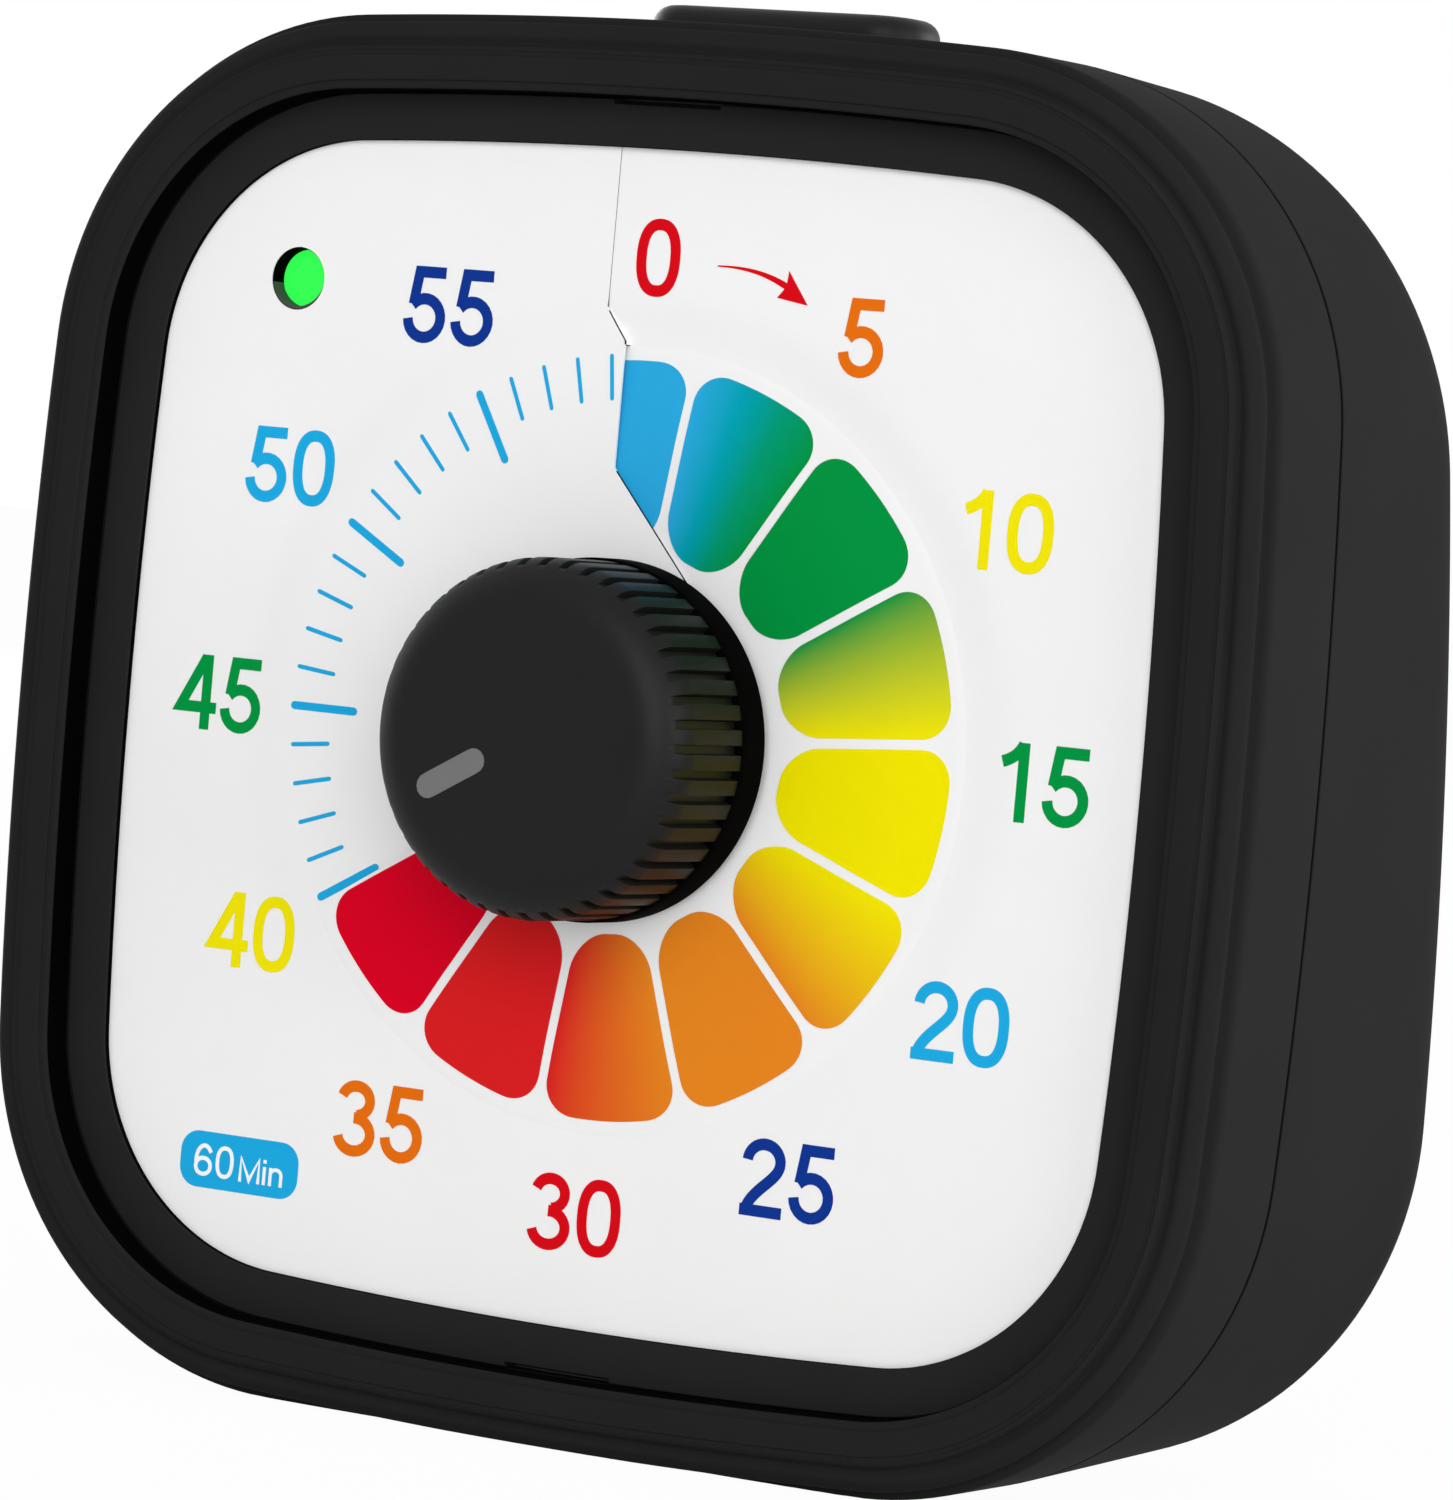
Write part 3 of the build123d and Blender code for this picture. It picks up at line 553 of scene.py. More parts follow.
def rearSkin(inset, sink, parting):
    # a ball of the edge's radius rolls where wall and back meet; the skin follows wall, ball and back
    turn = caseTurns
    ballRadius = rearForm["edgeRound"] - sink
    wallX, wallZ = outline(turn, inset)
    ballX, ballZ = outline(turn, rearForm["backInset"] + rearForm["edgeRound"], rearForm["backCorner"])
    ball = np.stack([ballX, depthOfBack(ballZ, rearForm["edgeRound"]), ballZ], -1)
    outward = np.stack([np.cos(turn), np.zeros_like(turn), np.sin(turn)], -1)
    opening = np.arccos(outward @ backOut)[None, :, None]
    t = np.linspace(0, 1, rearForm["edgeSteps"] + 1)[:, None, None]
    way = (np.sin((1 - t) * opening) * outward + np.sin(t * opening) * backOut) / np.sin(opening)
    edge = ball + ballRadius * way
    edge[..., 2] = np.maximum(edge[..., 2], -caseForm["footDrop"])
    wall = np.stack([wallX, np.full_like(wallX, parting), wallZ], -1)
    middle = onBack(0.0, 0.0, -sink)
    rings = np.linspace(1, 0, rearForm["faceSteps"] + 1)[1:, None, None]
    face = middle + rings * (edge[-1] - middle)
    return np.concatenate([wall[None], edge, face])


def rearBody(form):
    # the inner skin from its middle out, a small bevel at the parting, then the outer skin
    outer = rearSkin(0, 0, form["parting"] + form["partingEdge"])
    inner = rearSkin(form["wall"], form["wall"], form["parting"])
    lip = carryRound(np.array([(form["partingEdge"], form["parting"])]))
    return skinMesh("rear_case", np.concatenate([inner[::-1], lip, outer]), False)


rearOpenings = {
    "cutOver": 3.0,
    "screwPlaces": [(-33, 28), (33, 28), (-33, -12), (33, -12)],
    "screwBore": 2.85,
    "screwSeat": 20.0,
    "screwMouth": 40.0,
    "doorHeight": -25.5,
    "pocket": (55.3, 17.3, 2.15),
    "pocketDepth": 1.4,
    "mouth": (53.2, 15.2, 1.5),
    "soundPlace": (14.0, 25.0),
    "soundSlot": (12.0, 1.2, 0.59),
    "soundPitch": 2.6,
    "soundCount": 5,
    "volumePlace": (-16.0, 16.0),
    "volumeSlot": (7.9, 2.6, 0.7),
    "buttonDepth": 14.0,
    "buttonWindow": (19.3, 7.3, 3.35),
    "buttonRoof": (38.0, 46.0),
}


def backCutter(size, across, up, low):
    # a rounded box drawn out along the normal of the back
    box = roundBox(*size)
    levels = (low, rearOpenings["cutOver"])
    return stackMesh("cutter", [onBack(across + box[:, 0], up + box[:, 1], level) for level in levels])


def rearCutters(form):
    doorUp = upOnBack(form["doorHeight"])
    soundX, soundZ = form["soundPlace"]
    volumeX, volumeZ = form["volumePlace"]
    through = -rearForm["wall"] - form["cutOver"]
    cutters = [
        backCutter(form["pocket"], 0, doorUp, -form["pocketDepth"]),
        backCutter(form["mouth"], 0, doorUp, through),
        backCutter(form["volumeSlot"], volumeX, upOnBack(volumeZ), through),
    ]
    for i in range(form["soundCount"]):
        rise = (i - (form["soundCount"] - 1) / 2) * form["soundPitch"]
        cutters.append(backCutter(form["soundSlot"], soundX, upOnBack(soundZ) + rise, through))
    bore = circleLoop(form["screwBore"])
    for x, z in form["screwPlaces"]:
        cutters.append(uprightCutter(bore, x, z, form["screwSeat"], form["screwMouth"]))
    window = roundBox(*form["buttonWindow"])
    levels = [levelLoop(window, form["buttonDepth"], z) for z in form["buttonRoof"]]
    cutters.append(stackMesh("cutter", levels))
    return cutters


rearShell = cutOut(rearBody(rearForm), rearCutters(rearOpenings))
fit(rearShell, caseBlack, "case", "case_black", "rear_shell")
print("rear case:", len(rearShell.data.polygons), "faces")


# Posts for the case screws, and the battery bay behind the door

postForm = {"outer": 4.0, "bore": 2.8, "hole": 1.65, "seat": 18.0, "front": 8.0, "sunk": 2.1, "columns": 40}
bayForm = {"inside": (56.2, 15.3, 1.0), "wall": 1.2, "floor": 17.35, "sunk": 1.9}


def screwPosts(form):
    # a stepped tube at each screw; its rear end is buried in the leaning back
    points = []
    for x, z in rearOpenings["screwPlaces"]:
        rear = depthOfBack(z, 0) - form["sunk"]
        profile = np.array([
            (form["hole"], form["front"]),
            (form["outer"], form["front"]),
            (form["outer"], rear),
            (form["bore"], rear),
            (form["bore"], form["seat"]),
            (form["hole"], form["seat"]),
        ])
        points.append(revolve(profile, form["columns"]) + np.array([x, 0, z]))
    points = np.stack(points)
    return makeMesh("screw_posts", points, copiedFaces(points, True, True))


def batteryBay(form):
    # an open tray: outside floor, outside rim, inside rim, inside floor; the rims follow the back
    width, height, corner = form["inside"]
    wall = form["wall"]
    middle = rearOpenings["doorHeight"]
    inside = roundBox(width, height, corner)
    outside = roundBox(width + 2 * wall, height + 2 * wall, corner + wall)
    return stackMesh("battery_bay", [
        uprightLoop(outside, 0, form["floor"] - wall, middle),
        uprightLoop(outside, 0, depthOfBack(middle + outside[:, 1], form["sunk"]), middle),
        uprightLoop(inside, 0, depthOfBack(middle + inside[:, 1], form["sunk"]), middle),
        uprightLoop(inside, 0, form["floor"], middle),
    ])


fit(screwPosts(postForm), caseBlack, "case", "case_black")
fit(batteryBay(bayForm), innerBlackAndSlitShade, "case", "inner_black")
print("posts and battery bay done")


# Dial: a sheet on a screw surface, slit from the knob to its edge

dialForm = {
    "hole": 6.3,
    "edgeInset": 5.7,
    "sheet": 0.18,
    "rise": 0.66,            # the sheet comes forward this much in one turn
    "rimRise": 0.05,         # the same, outside the disc
    "easeRadii": (23.7, 27.0),
    "cutRuns": [             # on the slit's cut edge: radii, depths below the lip, finish; the black and grey runs are painted shade lines, the white run fills the step below
        (10.4, 16.3, 0, 0.18, innerBlackAndSlitShade),
        (23.65, 25.9, 0, 0.17, innerBlackAndSlitShade),
        (23.65, 25.9, 0.17, 0.7, dialWhite),
        (25.95, 37.1, 0, 0.18, markGreyAndSlitShade),
    ],
    "cutSkin": 0.015,
    "slit": [(-3.17, 38.0), (-3.17, 25.7), (-1.6, 23.8), (-1.6, 16.2), (4.16, 9.7), (0.0, 0.0)],
    "slitSteps": 60,
    "slitReach": 40.0,
    "spokes": 480,
    "rings": 90,
    "outlineSteps": (40, 60),
    "lampPlace": (-25.5, 26.07),
    "lampHole": 1.93,
    "lampCut": (-3, 3),
    "lampColumns": 64,
    "holeShadeSkin": 0.05,
    "holeShadeDepth": 1.2,
    "holeShadeSunk": 0.05,
}


def dialFront(clock, radius):
    # depth of the face at a clock angle, counted on from the slit; the rise eases off outside the disc
    ease = sCurve(radius, *dialForm["easeRadii"])
    rise = dialForm["rise"] + ease * (dialForm["rimRise"] - dialForm["rise"])
    return rise * (0.5 - np.asarray(clock) / 360)


def slitClock(radius):
    # clock angle of the slit at a radius, read off the straight runs of the slit
    corners = np.array(dialForm["slit"])
    t = np.linspace(0, 1, dialForm["slitSteps"], endpoint=False)[None, :, None]
    runs = (corners[:-1, None] * (1 - t) + corners[1:, None] * t).reshape(-1, 2)
    reach = np.hypot(runs[:, 0], runs[:, 1])
    order = np.argsort(reach)
    return np.interp(radius, reach[order], np.degrees(np.arctan2(runs[order, 0], runs[order, 1])))


def edgeReach(clock, inset):
    # how far the outline lies from the dial's centre at a clock angle
    x, z = outline(turnsRound(*dialForm["outlineSteps"]), inset)
    return np.interp(clock, np.degrees(np.arctan2(x, z)), np.hypot(x, z), period=360)


def onDial(x, z, lift):
    # places on the face of the dial, lifted towards the front
    clock = np.degrees(np.arctan2(x, z))
    radius = np.hypot(x, z)
    start = slitClock(radius)
    clock = start + (clock - start) % 360
    return np.stack(np.broadcast_arrays(x, dialFront(clock, radius) - lift, z), -1)


def dialSheet(form):
    # spokes from the hole to the outline's edge, each bent along the slit
    turn = np.linspace(0, 360, form["spokes"] + 1)[None, :]
    out = np.linspace(0, 1, form["rings"] + 1)[:, None]
    edge = edgeReach(turn + slitClock(form["slitReach"]), form["edgeInset"])
    radius = form["hole"] + out * (edge - form["hole"])
    clock = turn + slitClock(radius)
    points = clockPoints(clock, radius, dialFront(clock, radius))
    sheet = thicken(makeMesh("dial_face", points, gridFaces(*points.shape[:2]), False), form["sheet"])
    hole = circleLoop(form["lampHole"])
    return cutOut(sheet, [uprightCutter(hole, *form["lampPlace"], *form["lampCut"])])


def slitEdge(form, name, inner, outer, top, bottom):
    # a thin skin on the cut edge of the upper lip, above the lower lip: a flat box carried along the slit; in
    # black or grey it is a painted shade line
    radius = np.linspace(inner, outer, form["slitSteps"])[:, None]
    clock = slitClock(radius)
    angle = np.radians(clock)
    aside = np.array([[0, form["cutSkin"], form["cutSkin"], 0]])
    x = radius * np.sin(angle) + aside * np.cos(angle)
    z = radius * np.cos(angle) - aside * np.sin(angle)
    upper = dialFront(clock + 360, radius)
    lower = dialFront(clock, radius) + form["sheet"] / 2
    y = np.minimum(upper + np.array([[top, top, bottom, bottom]]), lower)
    return stackMesh(name, np.stack([x, y, z], -1))


def lampSleeve(form):
    # painted shade: a thin near-black tube that lines the lamp's hole
    outer = form["lampHole"]
    inner = outer - form["holeShadeSkin"]
    deep = form["holeShadeDepth"]
    profile = np.array([(outer, 0), (outer, deep), (inner, deep), (inner, 0)])
    tube = revolve(profile, form["lampColumns"])
    x, z = form["lampPlace"]
    return skinMesh("lamp_hole_shade", tube + np.array([x, form["holeShadeSunk"], z]))


dial = fit(dialSheet(dialForm), dialWhite, "case", "dial_white", "dial")
for number, (*run, finish) in enumerate(dialForm["cutRuns"]):
    fit(slitEdge(dialForm, "slit_edge_" + str(number), *run), finish, "case", "dial_white")
fit(lampSleeve(dialForm), paintedShadeBlack, "case", "inner_black")
print("dial:", len(dial.data.polygons), "faces")


# Time disc: the same screw surface, wound through the slit, and its printed fan

discForm = {
    "lift": 0.24,
    "inner": 6.0,
    "outer": 23.6,
    "under": 0.08,
    "easeRadii": (18.0, 23.2),      # here the face comes down towards the dial
    "easeSteps": 13,
    "easedLift": 0.05,
    "rimLift": 0.012,
    "thinnest": 0.008,
    "start": -118.0,
    "end": 239.25,
    "spokes": 360,
    "fanEnd": 239.5,
    "fanCount": 14,
    "fanInner": 11.56,
    "fanOuter": 22.75,
    "fanGap": 0.3,        # half the white line between two fields
    "fanSteps": (9, 41),
    "innerRound": 2.5,
    "outerRound": 2.0,
    "fanLift": 0.03,
    "fanSheet": 0.02,
    "lastClock": -117.0,
}
crimson = srgb(218, 0, 35)
red = srgb(216, 30, 33)
orange = srgb(228, 132, 30)
yellow = srgb(240, 228, 0)
green = srgb(0, 145, 63)
seaGreen = srgb(0, 152, 112)
teal = srgb(0, 160, 180)
lightBlue = srgb(42, 167, 221)
darkBlue = srgb(13, 52, 140)
violet = srgb(100, 40, 130)
fanColours = [
    (crimson, crimson), (red, red), (red, orange), (orange, orange), (orange, yellow),
    (yellow, yellow), (yellow, green), (green, green), (green, seaGreen, teal, lightBlue),
    (lightBlue, lightBlue), (lightBlue, darkBlue), (darkBlue, darkBlue), (darkBlue, violet),
    (violet, violet),
]


def discLift(form, radius):
    # height of the disc's face above the dial: level, then an S-curve, then a bevel onto the dial
    end = form["easeRadii"][1]
    bevel = np.clip((radius - end) / (form["outer"] - end), 0, 1)
    eased = form["lift"] + sCurve(radius, *form["easeRadii"]) * (form["easedLift"] - form["lift"])
    return eased + bevel * (form["rimLift"] - form["easedLift"])


def discSheet(form):
    # a profile of (radius, lift) carried along the clock; its outer edge thins out on the dial
    ease = np.linspace(*form["easeRadii"], form["easeSteps"])
    top = np.concatenate([[form["inner"]], ease, [form["outer"]]])
    face = discLift(form, top)
    below = np.minimum(form["under"], face - form["thinnest"])
    radius = np.concatenate([top, top[::-1]])[None, :]
    lift = np.concatenate([face, below[::-1]])[None, :]
    clock = np.linspace(form["start"], form["end"], form["spokes"] + 1)[:, None]
    return stackMesh("time_sheet", clockPoints(clock, radius, dialFront(clock, radius) - lift))


def fanField(form, index):
    # a field between two radii and two straight edges; near an edge the radii draw in along an arc
    pitch = 360 / form["fanCount"]
    lead = form["fanEnd"] - index * pitch
    trail = max(lead - pitch, form["lastClock"])
    outSteps, acrossSteps = form["fanSteps"]
    share = softSteps(acrossSteps)

    def drawIn(corner, reach):
        length = reach * math.radians(lead - trail) - 2 * form["fanGap"]
        return cornerLoss(corner, np.minimum(share, 1 - share) * length)

    low = form["fanInner"] + drawIn(form["innerRound"], form["fanInner"] + form["innerRound"])
    high = form["fanOuter"] - drawIn(form["outerRound"], form["fanOuter"] - form["outerRound"])
    radius = low + np.linspace(0, 1, outSteps)[:, None] * (high - low)
    margin = np.degrees(np.arcsin(form["fanGap"] / radius))
    clock = lead - margin - share * (lead - trail - 2 * margin)
    y = dialFront(clock, radius) - discLift(form, radius) - form["fanLift"]
    stops = np.array(fanColours[index])
    places = np.linspace(0, 1, len(stops))
    blend = np.stack([np.interp(share, places, stops[:, i]) for i in range(4)], -1)
    return clockPoints(clock, radius, y), np.broadcast_to(blend, radius.shape + (4,))


def timeFan(form):
    # all the fields as one sheet, each with its own colours
    fields, tints = zip(*[fanField(form, index) for index in range(form["fanCount"])])
    points = np.stack(fields)
    fan = makeMesh("time_fan", points, copiedFaces(points), False, np.stack(tints))
    return thicken(fan, form["fanSheet"])


fit(discSheet(discForm), dialWhite, "disc", "disc_print", "time_disc")
fit(timeFan(discForm), dialPrint, "disc", "disc_print")
print("time disc and fan done")


# Print on the dial: ticks, numbers, arrow and badge

printForm = {
    "lift": 0.022,
    "sheet": 0.015,
    "strokeStep": 0.004,   # strokes that cross lie on each other
    "minor": (20.31, 23.12, 0.26),
    "major": (18.38, 23.24, 0.5),
    "tickSteps": 15,
    "numberReach": 28.72,
    "numberRise": 0.18,        # the ring of numbers sits this much above the dial's centre
    "numberHeight": 4.62,
    "numberStroke": 0.15,
    "advance": 0.74,
    "glyphWidth": 0.65,
    "glyphStretch": 1.075,     # a sign is this much wider than its centre lines
    "sharpest": 0.35,          # limits the mitre where a stroke turns
}
inkRed = srgb(214, 8, 22)
inkOrange = srgb(229, 109, 12)
inkYellow = srgb(241, 228, 6)
inkGreen = srgb(0, 146, 64)
inkLight = srgb(28, 168, 224)
inkDark = srgb(14, 52, 142)
inkWhite = srgb(246, 248, 250)
inkRound = [inkRed, inkOrange, inkYellow, inkGreen, inkLight, inkDark]


def tickPatches(minutes, inner, outer, width):
    # a bar along its spoke; near an end its half width follows a circle
    half = width / 2
    reach = inner + softSteps(printForm["tickSteps"]) * (outer - inner)
    wide = half - cornerLoss(half, np.minimum(reach - inner, outer - reach))
    angle = np.radians(6 * np.asarray(minutes))[:, None, None]
    side = np.stack([-wide, wide], -1)[None]
    along = np.broadcast_to(reach[None, :, None], side.shape)
    x = along * np.sin(angle) + side * np.cos(angle)
    z = along * np.cos(angle) - side * np.sin(angle)
    return list(np.stack([x, z], -1))


def ribbon(path, half, closed=False):
    # the path moved half a stroke to each side, mitred where it turns
    step = np.roll(path, -1, 0) - path
    step /= np.linalg.norm(step, axis=1)[:, None]
    before = np.roll(step, 1, 0)
    if not closed:
        step[-1] = before[-1]
        before[0] = step[0]
    normal = np.stack([-step[:, 1], step[:, 0]], -1)
    mitre = normal + np.stack([-before[:, 1], before[:, 0]], -1)
    mitre /= np.maximum((mitre * normal).sum(1), printForm["sharpest"])[:, None]
    sides = np.stack([path - half * mitre, path + half * mitre], 1)
    return np.concatenate([sides, sides[:1]]) if closed else sides


def arcPath(x, y, radiusX, radiusY, start, end, steps=22):
    # part of an oval, its angles in degrees from the right
    angle = np.radians(np.linspace(start, end, steps + 1))
    return np.stack([x + radiusX * np.cos(angle), y + radiusY * np.sin(angle)], -1)


def ovalPath(x, y, radiusX, radiusY, power, steps=56):
    # a swollen oval: |x/a|^power plus |y/b|^power is 1
    ring = circleLoop(1.0, steps)
    swollen = np.sign(ring) * np.abs(ring) ** (2 / power)
    return np.array([x, y]) + np.array([radiusX, radiusY]) * swollen


def bezierPath(points, steps=16):
    # a cubic curve from the first point to the last, pulled by the two between
    a, b, c, d = np.array(points, float)
    t = np.linspace(0, 1, steps + 1)[:, None]
    return (1 - t) ** 3 * a + 3 * t * (1 - t) ** 2 * b + 3 * t ** 2 * (1 - t) * c + t ** 3 * d


def openLines(*paths):
    return [(np.array(path, float), False) for path in paths]


def closedLine(path):
    return [(path, True)]


# centre lines of the signs, each one unit high
twoBow = arcPath(0.31, 0.705, 0.225, 0.225, 178, -30)
twoTail = bezierPath([twoBow[-1], (0.42, 0.44), (0.16, 0.30), (0.10, 0.07)])
oneFlag = bezierPath([(0.39, 0.985), (0.34, 0.86), (0.25, 0.79), (0.12, 0.745)])
stem = [(0.07, 0.0), (0.07, 0.72)]
arch = np.concatenate([arcPath(0.325, 0.44, 0.255, 0.225, 165, 0), [(0.58, 0.0)]])
signLines = {
    "0": closedLine(ovalPath(0.305, 0.5, 0.235, 0.43, 2.4)),
    "1": openLines([(0.40, 0.0), (0.40, 1.0)], oneFlag),
    "2": openLines(np.concatenate([twoBow, twoTail[1:]]), [(0.025, 0.07), (0.60, 0.07)]),
    "3": openLines(
        arcPath(0.29, 0.735, 0.205, 0.195, 165, -82), arcPath(0.295, 0.29, 0.235, 0.22, 95, -170)),
    "4": openLines([(0.43, 0.97), (0.085, 0.295), (0.62, 0.295)], [(0.46, 0.0), (0.46, 1.0)]),
    "5": openLines(
        [(0.565, 0.93), (0.185, 0.93), (0.125, 0.50)], arcPath(0.295, 0.325, 0.235, 0.255, 140, -177)),
    "6": closedLine(ovalPath(0.305, 0.31, 0.235, 0.24, 2.1))
    + openLines(arcPath(0.325, 0.47, 0.255, 0.46, 186, 35)),
    "M": openLines([(0.07, 0.0), (0.07, 0.96), (0.5, 0.1), (0.93, 0.96), (0.93, 0.0)]),
    "i": openLines(stem, [(0.07, 0.86), (0.07, 1.0)]),
    "n": openLines(stem, arch),
}


def signPatches(sign, height, stroke, x, z, stretch=1.0):
    # the sign's lines, widened first, then scaled and set down at (x, z)
    return [
        np.array([x, z]) + height * ribbon(path * np.array([stretch, 1]), stroke / 2, closed)
        for path, closed in signLines[sign]
    ]


def numberPatches(form, minutes):
    # the number's middle lies on a circle, at the clock angle of its minutes
    height = form["numberHeight"]
    angle = math.radians(6 * minutes)
    text = str(minutes)
    width = ((len(text) - 1) * form["advance"] + form["glyphWidth"]) * height
    x = form["numberReach"] * math.sin(angle) - width / 2
    z = form["numberReach"] * math.cos(angle) + form["numberRise"] - height / 2
    patches = []
    for i, sign in enumerate(text):
        left = x + i * form["advance"] * height
        patches += signPatches(sign, height, form["numberStroke"], left, z, form["glyphStretch"])
    return patches


arrowForm = {
    "curve": [(4.13, 28.67), (6.0, 28.72), (7.5, 28.45), (8.95, 27.75)],
    "tail": 0.04,
    "neck": 0.2,
    "barbs": [(9.05, 28.68), (8.38, 27.05)],
    "tip": (10.5, 26.72),
}


def arrowPatches(form):
    # a bent shaft that thickens from the tail to the neck, and a barbed head
    path = bezierPath(form["curve"], 24)
    half = np.linspace(form["tail"], form["neck"], len(path))[:, None, None]
    shaft = path[:, None] + (ribbon(path, 1.0) - path[:, None]) * half
    barbs = np.array(form["barbs"])
    heel = np.stack([barbs[0], path[-1], barbs[1]])
    head = np.stack([heel, np.broadcast_to(np.array(form["tip"]), heel.shape)])
    return [shaft, head]


badgeForm = {
    "low": (-28.62, -30.28),
    "high": (-19.9, -26.8),
    "corner": 1.3,
    "steps": (9, 41),
    "digitHeight": 2.04,
    "wordHeight": 1.56,
    "digitStroke": 0.128,
    "wordStroke": 0.145,
    "base": -29.58,
    "digitsLeft": -27.6,
    "digitAdvance": 0.78,
    "digitStretch": 1.12,
    "wordLeft": -24.22,
    "wordSteps": [0.0, 1.13, 1.42],
}


def badgePatch(form):
    # a bar with round ends: near an end its half height follows the corner's circle
    left, bottom = form["low"]
    right, top = form["high"]
    upSteps, acrossSteps = form["steps"]
    x = left + softSteps(acrossSteps) * (right - left)
    less = cornerLoss(form["corner"], np.minimum(x - left, right - x))
    z = bottom + less + np.linspace(0, 1, upSteps)[:, None] * (top - bottom - 2 * less)
    return np.stack(np.broadcast_arrays(x, z), -1)


def badgeWords(form):
    patches = []
    for i, sign in enumerate("60"):
        left = form["digitsLeft"] + i * form["digitAdvance"] * form["digitHeight"]
        patches += signPatches(
            sign, form["digitHeight"], form["digitStroke"], left, form["base"], form["digitStretch"])
    for sign, step in zip("Min", form["wordSteps"]):
        left = form["wordLeft"] + step * form["wordHeight"]
        patches += signPatches(sign, form["wordHeight"], form["wordStroke"], left, form["base"])
    return patches


def printPiece(name, patches, inks, lift=printForm["lift"]):
    # each patch is a grid of (x, z) laid on the dial, in one ink
    points = []
    faces = []
    tints = []
    count = 0
    for number, (patch, ink) in enumerate(zip(patches, inks)):
        laid = onDial(patch[..., 0], patch[..., 1], lift + number % 3 * printForm["strokeStep"])
        points.append(laid.reshape(-1, 3))
        faces.append(np.array(gridFaces(*laid.shape[:2])) + count)
        tints.append(np.tile(ink, (len(points[-1]), 1)))
        count += len(points[-1])
    every = np.concatenate(faces).tolist()
    piece = makeMesh(name, np.concatenate(points), every, False, np.concatenate(tints))
    return fit(thicken(piece, printForm["sheet"]), dialPrint, "case", "dial_white")


minorTicks = [minute for minute in range(60) if minute % 5]
majorTicks = [minute for minute in range(60) if minute % 5 == 0]
ticks = tickPatches(minorTicks, *printForm["minor"]) + tickPatches(majorTicks, *printForm["major"])
printPiece("minute_ticks", ticks, [inkLight] * len(ticks))

numbers = []
numberInks = []
for place, minute in enumerate(majorTicks):
    strokes = numberPatches(printForm, minute)
    numbers += strokes
    numberInks += [inkRound[place % len(inkRound)]] * len(strokes)
printPiece("minute_numbers", numbers, numberInks)

arrow = arrowPatches(arrowForm)
printPiece("turn_arrow", arrow, [inkRed] * len(arrow))
printPiece("badge", [badgePatch(badgeForm)], [inkLight])
words = badgeWords(badgeForm)
printPiece("badge_words", words, [inkWhite] * len(words), printForm["lift"] * 2)
print("dial print done")


# Dial frame: a flat black ring with a short rim and two shallow notches

ringForm = {
    "rimInset": 4.8,
    "innerInset": 7.63,
    "front": -0.5,
    "plateBack": -0.07,
    "rimBackInset": 5.6,
    "rimBack": 1.2,
    "edge": 0.12,
    "lipSkin": 0.03,
    "notchSize": (7.4, 0.7, 0.05, 2),   # width, height, corner and its steps
    "notchOver": 1.0,
    "notchDepth": 1.6,
}


def dialRing(form):
    # corners of (inset, depth, rounding) carried round the outline; a box cuts each notch
    profile = softPath([
        (form["rimInset"], form["front"], form["edge"]),
        (form["innerInset"], form["front"], form["edge"]),
        (form["innerInset"], form["plateBack"], 0),
        (form["rimBackInset"], form["plateBack"], 0),
        (form["rimBackInset"], form["rimBack"], 0),
        (form["rimInset"], form["rimBack"], 0),
    ])
    notch = roundBox(*form["notchSize"])
    reach = caseForm["half"] - form["rimInset"]
    near = form["front"] - form["notchOver"]
    far = form["front"] + form["notchDepth"]
    cutters = [uprightCutter(notch, 0, side * reach, near, far) for side in (-1, 1)]
    return cutOut(skinMesh("dial_ring", carryRound(profile)), cutters)


def ringLip(form):
    # painted shade: a near-black skin on the ring's inner edge, a dark line where the dial sits behind the ring
    front = form["front"] + form["edge"]
    return wallSkin("ring_lip_shade", form["innerInset"], front, form["plateBack"], form["lipSkin"])


fit(dialRing(ringForm), frameBlack, "case", "frame_black", "dial_frame")
fit(ringLip(ringForm), paintedShadeBlack, "case", "frame_black")
print("dial ring done")


# Knob: a turned form with ribs round its side and a plain grey index bar

knobForm = {
    "radius": 10.7,
    "front": -11.4,
    "foot": -0.9,
    "collar": 2.55,
    "collarRadius": 10.85,
    "collarRound": 0.2,
    "frontRound": 2.8,
    "frontSteps": 12,
    "collarColumns": 180,
    "ribCount": 45,
    "grooveFloor": 10.2,
    "grooveHalf": 1.47,     # degrees
    "grooveWall": 0.12,     # degrees
    "grooveShares": [1, 0.25, 0.02, 0],   # of its depth, from its floor up the wall to the rib
    "socket": 6.6,
    "tuck": 0.4,            # the ribbed grip reaches this far into its collar
    "bar": (2.4, 7.4, 1.5),
    "barClock": 240.0,
    "barLift": 0.03,
    "barSheet": 0.025,
}


def knobGrip(form):
    # the turned profile, held down to the groove's floor between the ribs
    radius = form["radius"]
    back = form["foot"] - form["collar"] + form["tuck"]
    profile = softPath([
        (0, form["front"], 0),
        (radius, form["front"], form["frontRound"]),
        (radius, back, 0),
        (0, back, 0),
    ], form["frontSteps"])
    pitch = 360 / form["ribCount"]
    half = form["grooveHalf"]
    wall = form["grooveWall"]
    rise = np.array([half - wall, half, half + wall, half + 3 * wall])
    stops = np.concatenate([[-pitch / 2], -rise[::-1], [0], rise])
    shares = form["grooveShares"]
    deep = np.tile([0, *shares[::-1], 1, *shares], form["ribCount"])[None, :]
    clock = (np.arange(form["ribCount"])[:, None] * pitch + stops[None, :]).ravel()[None, :]
    held = np.minimum(profile[:, :1], form["grooveFloor"])
    reach = profile[:, :1] + deep * (held - profile[:, :1])
    return skinMesh("knob_grip", clockPoints(clock, reach, profile[:, 1:]), False, 40)


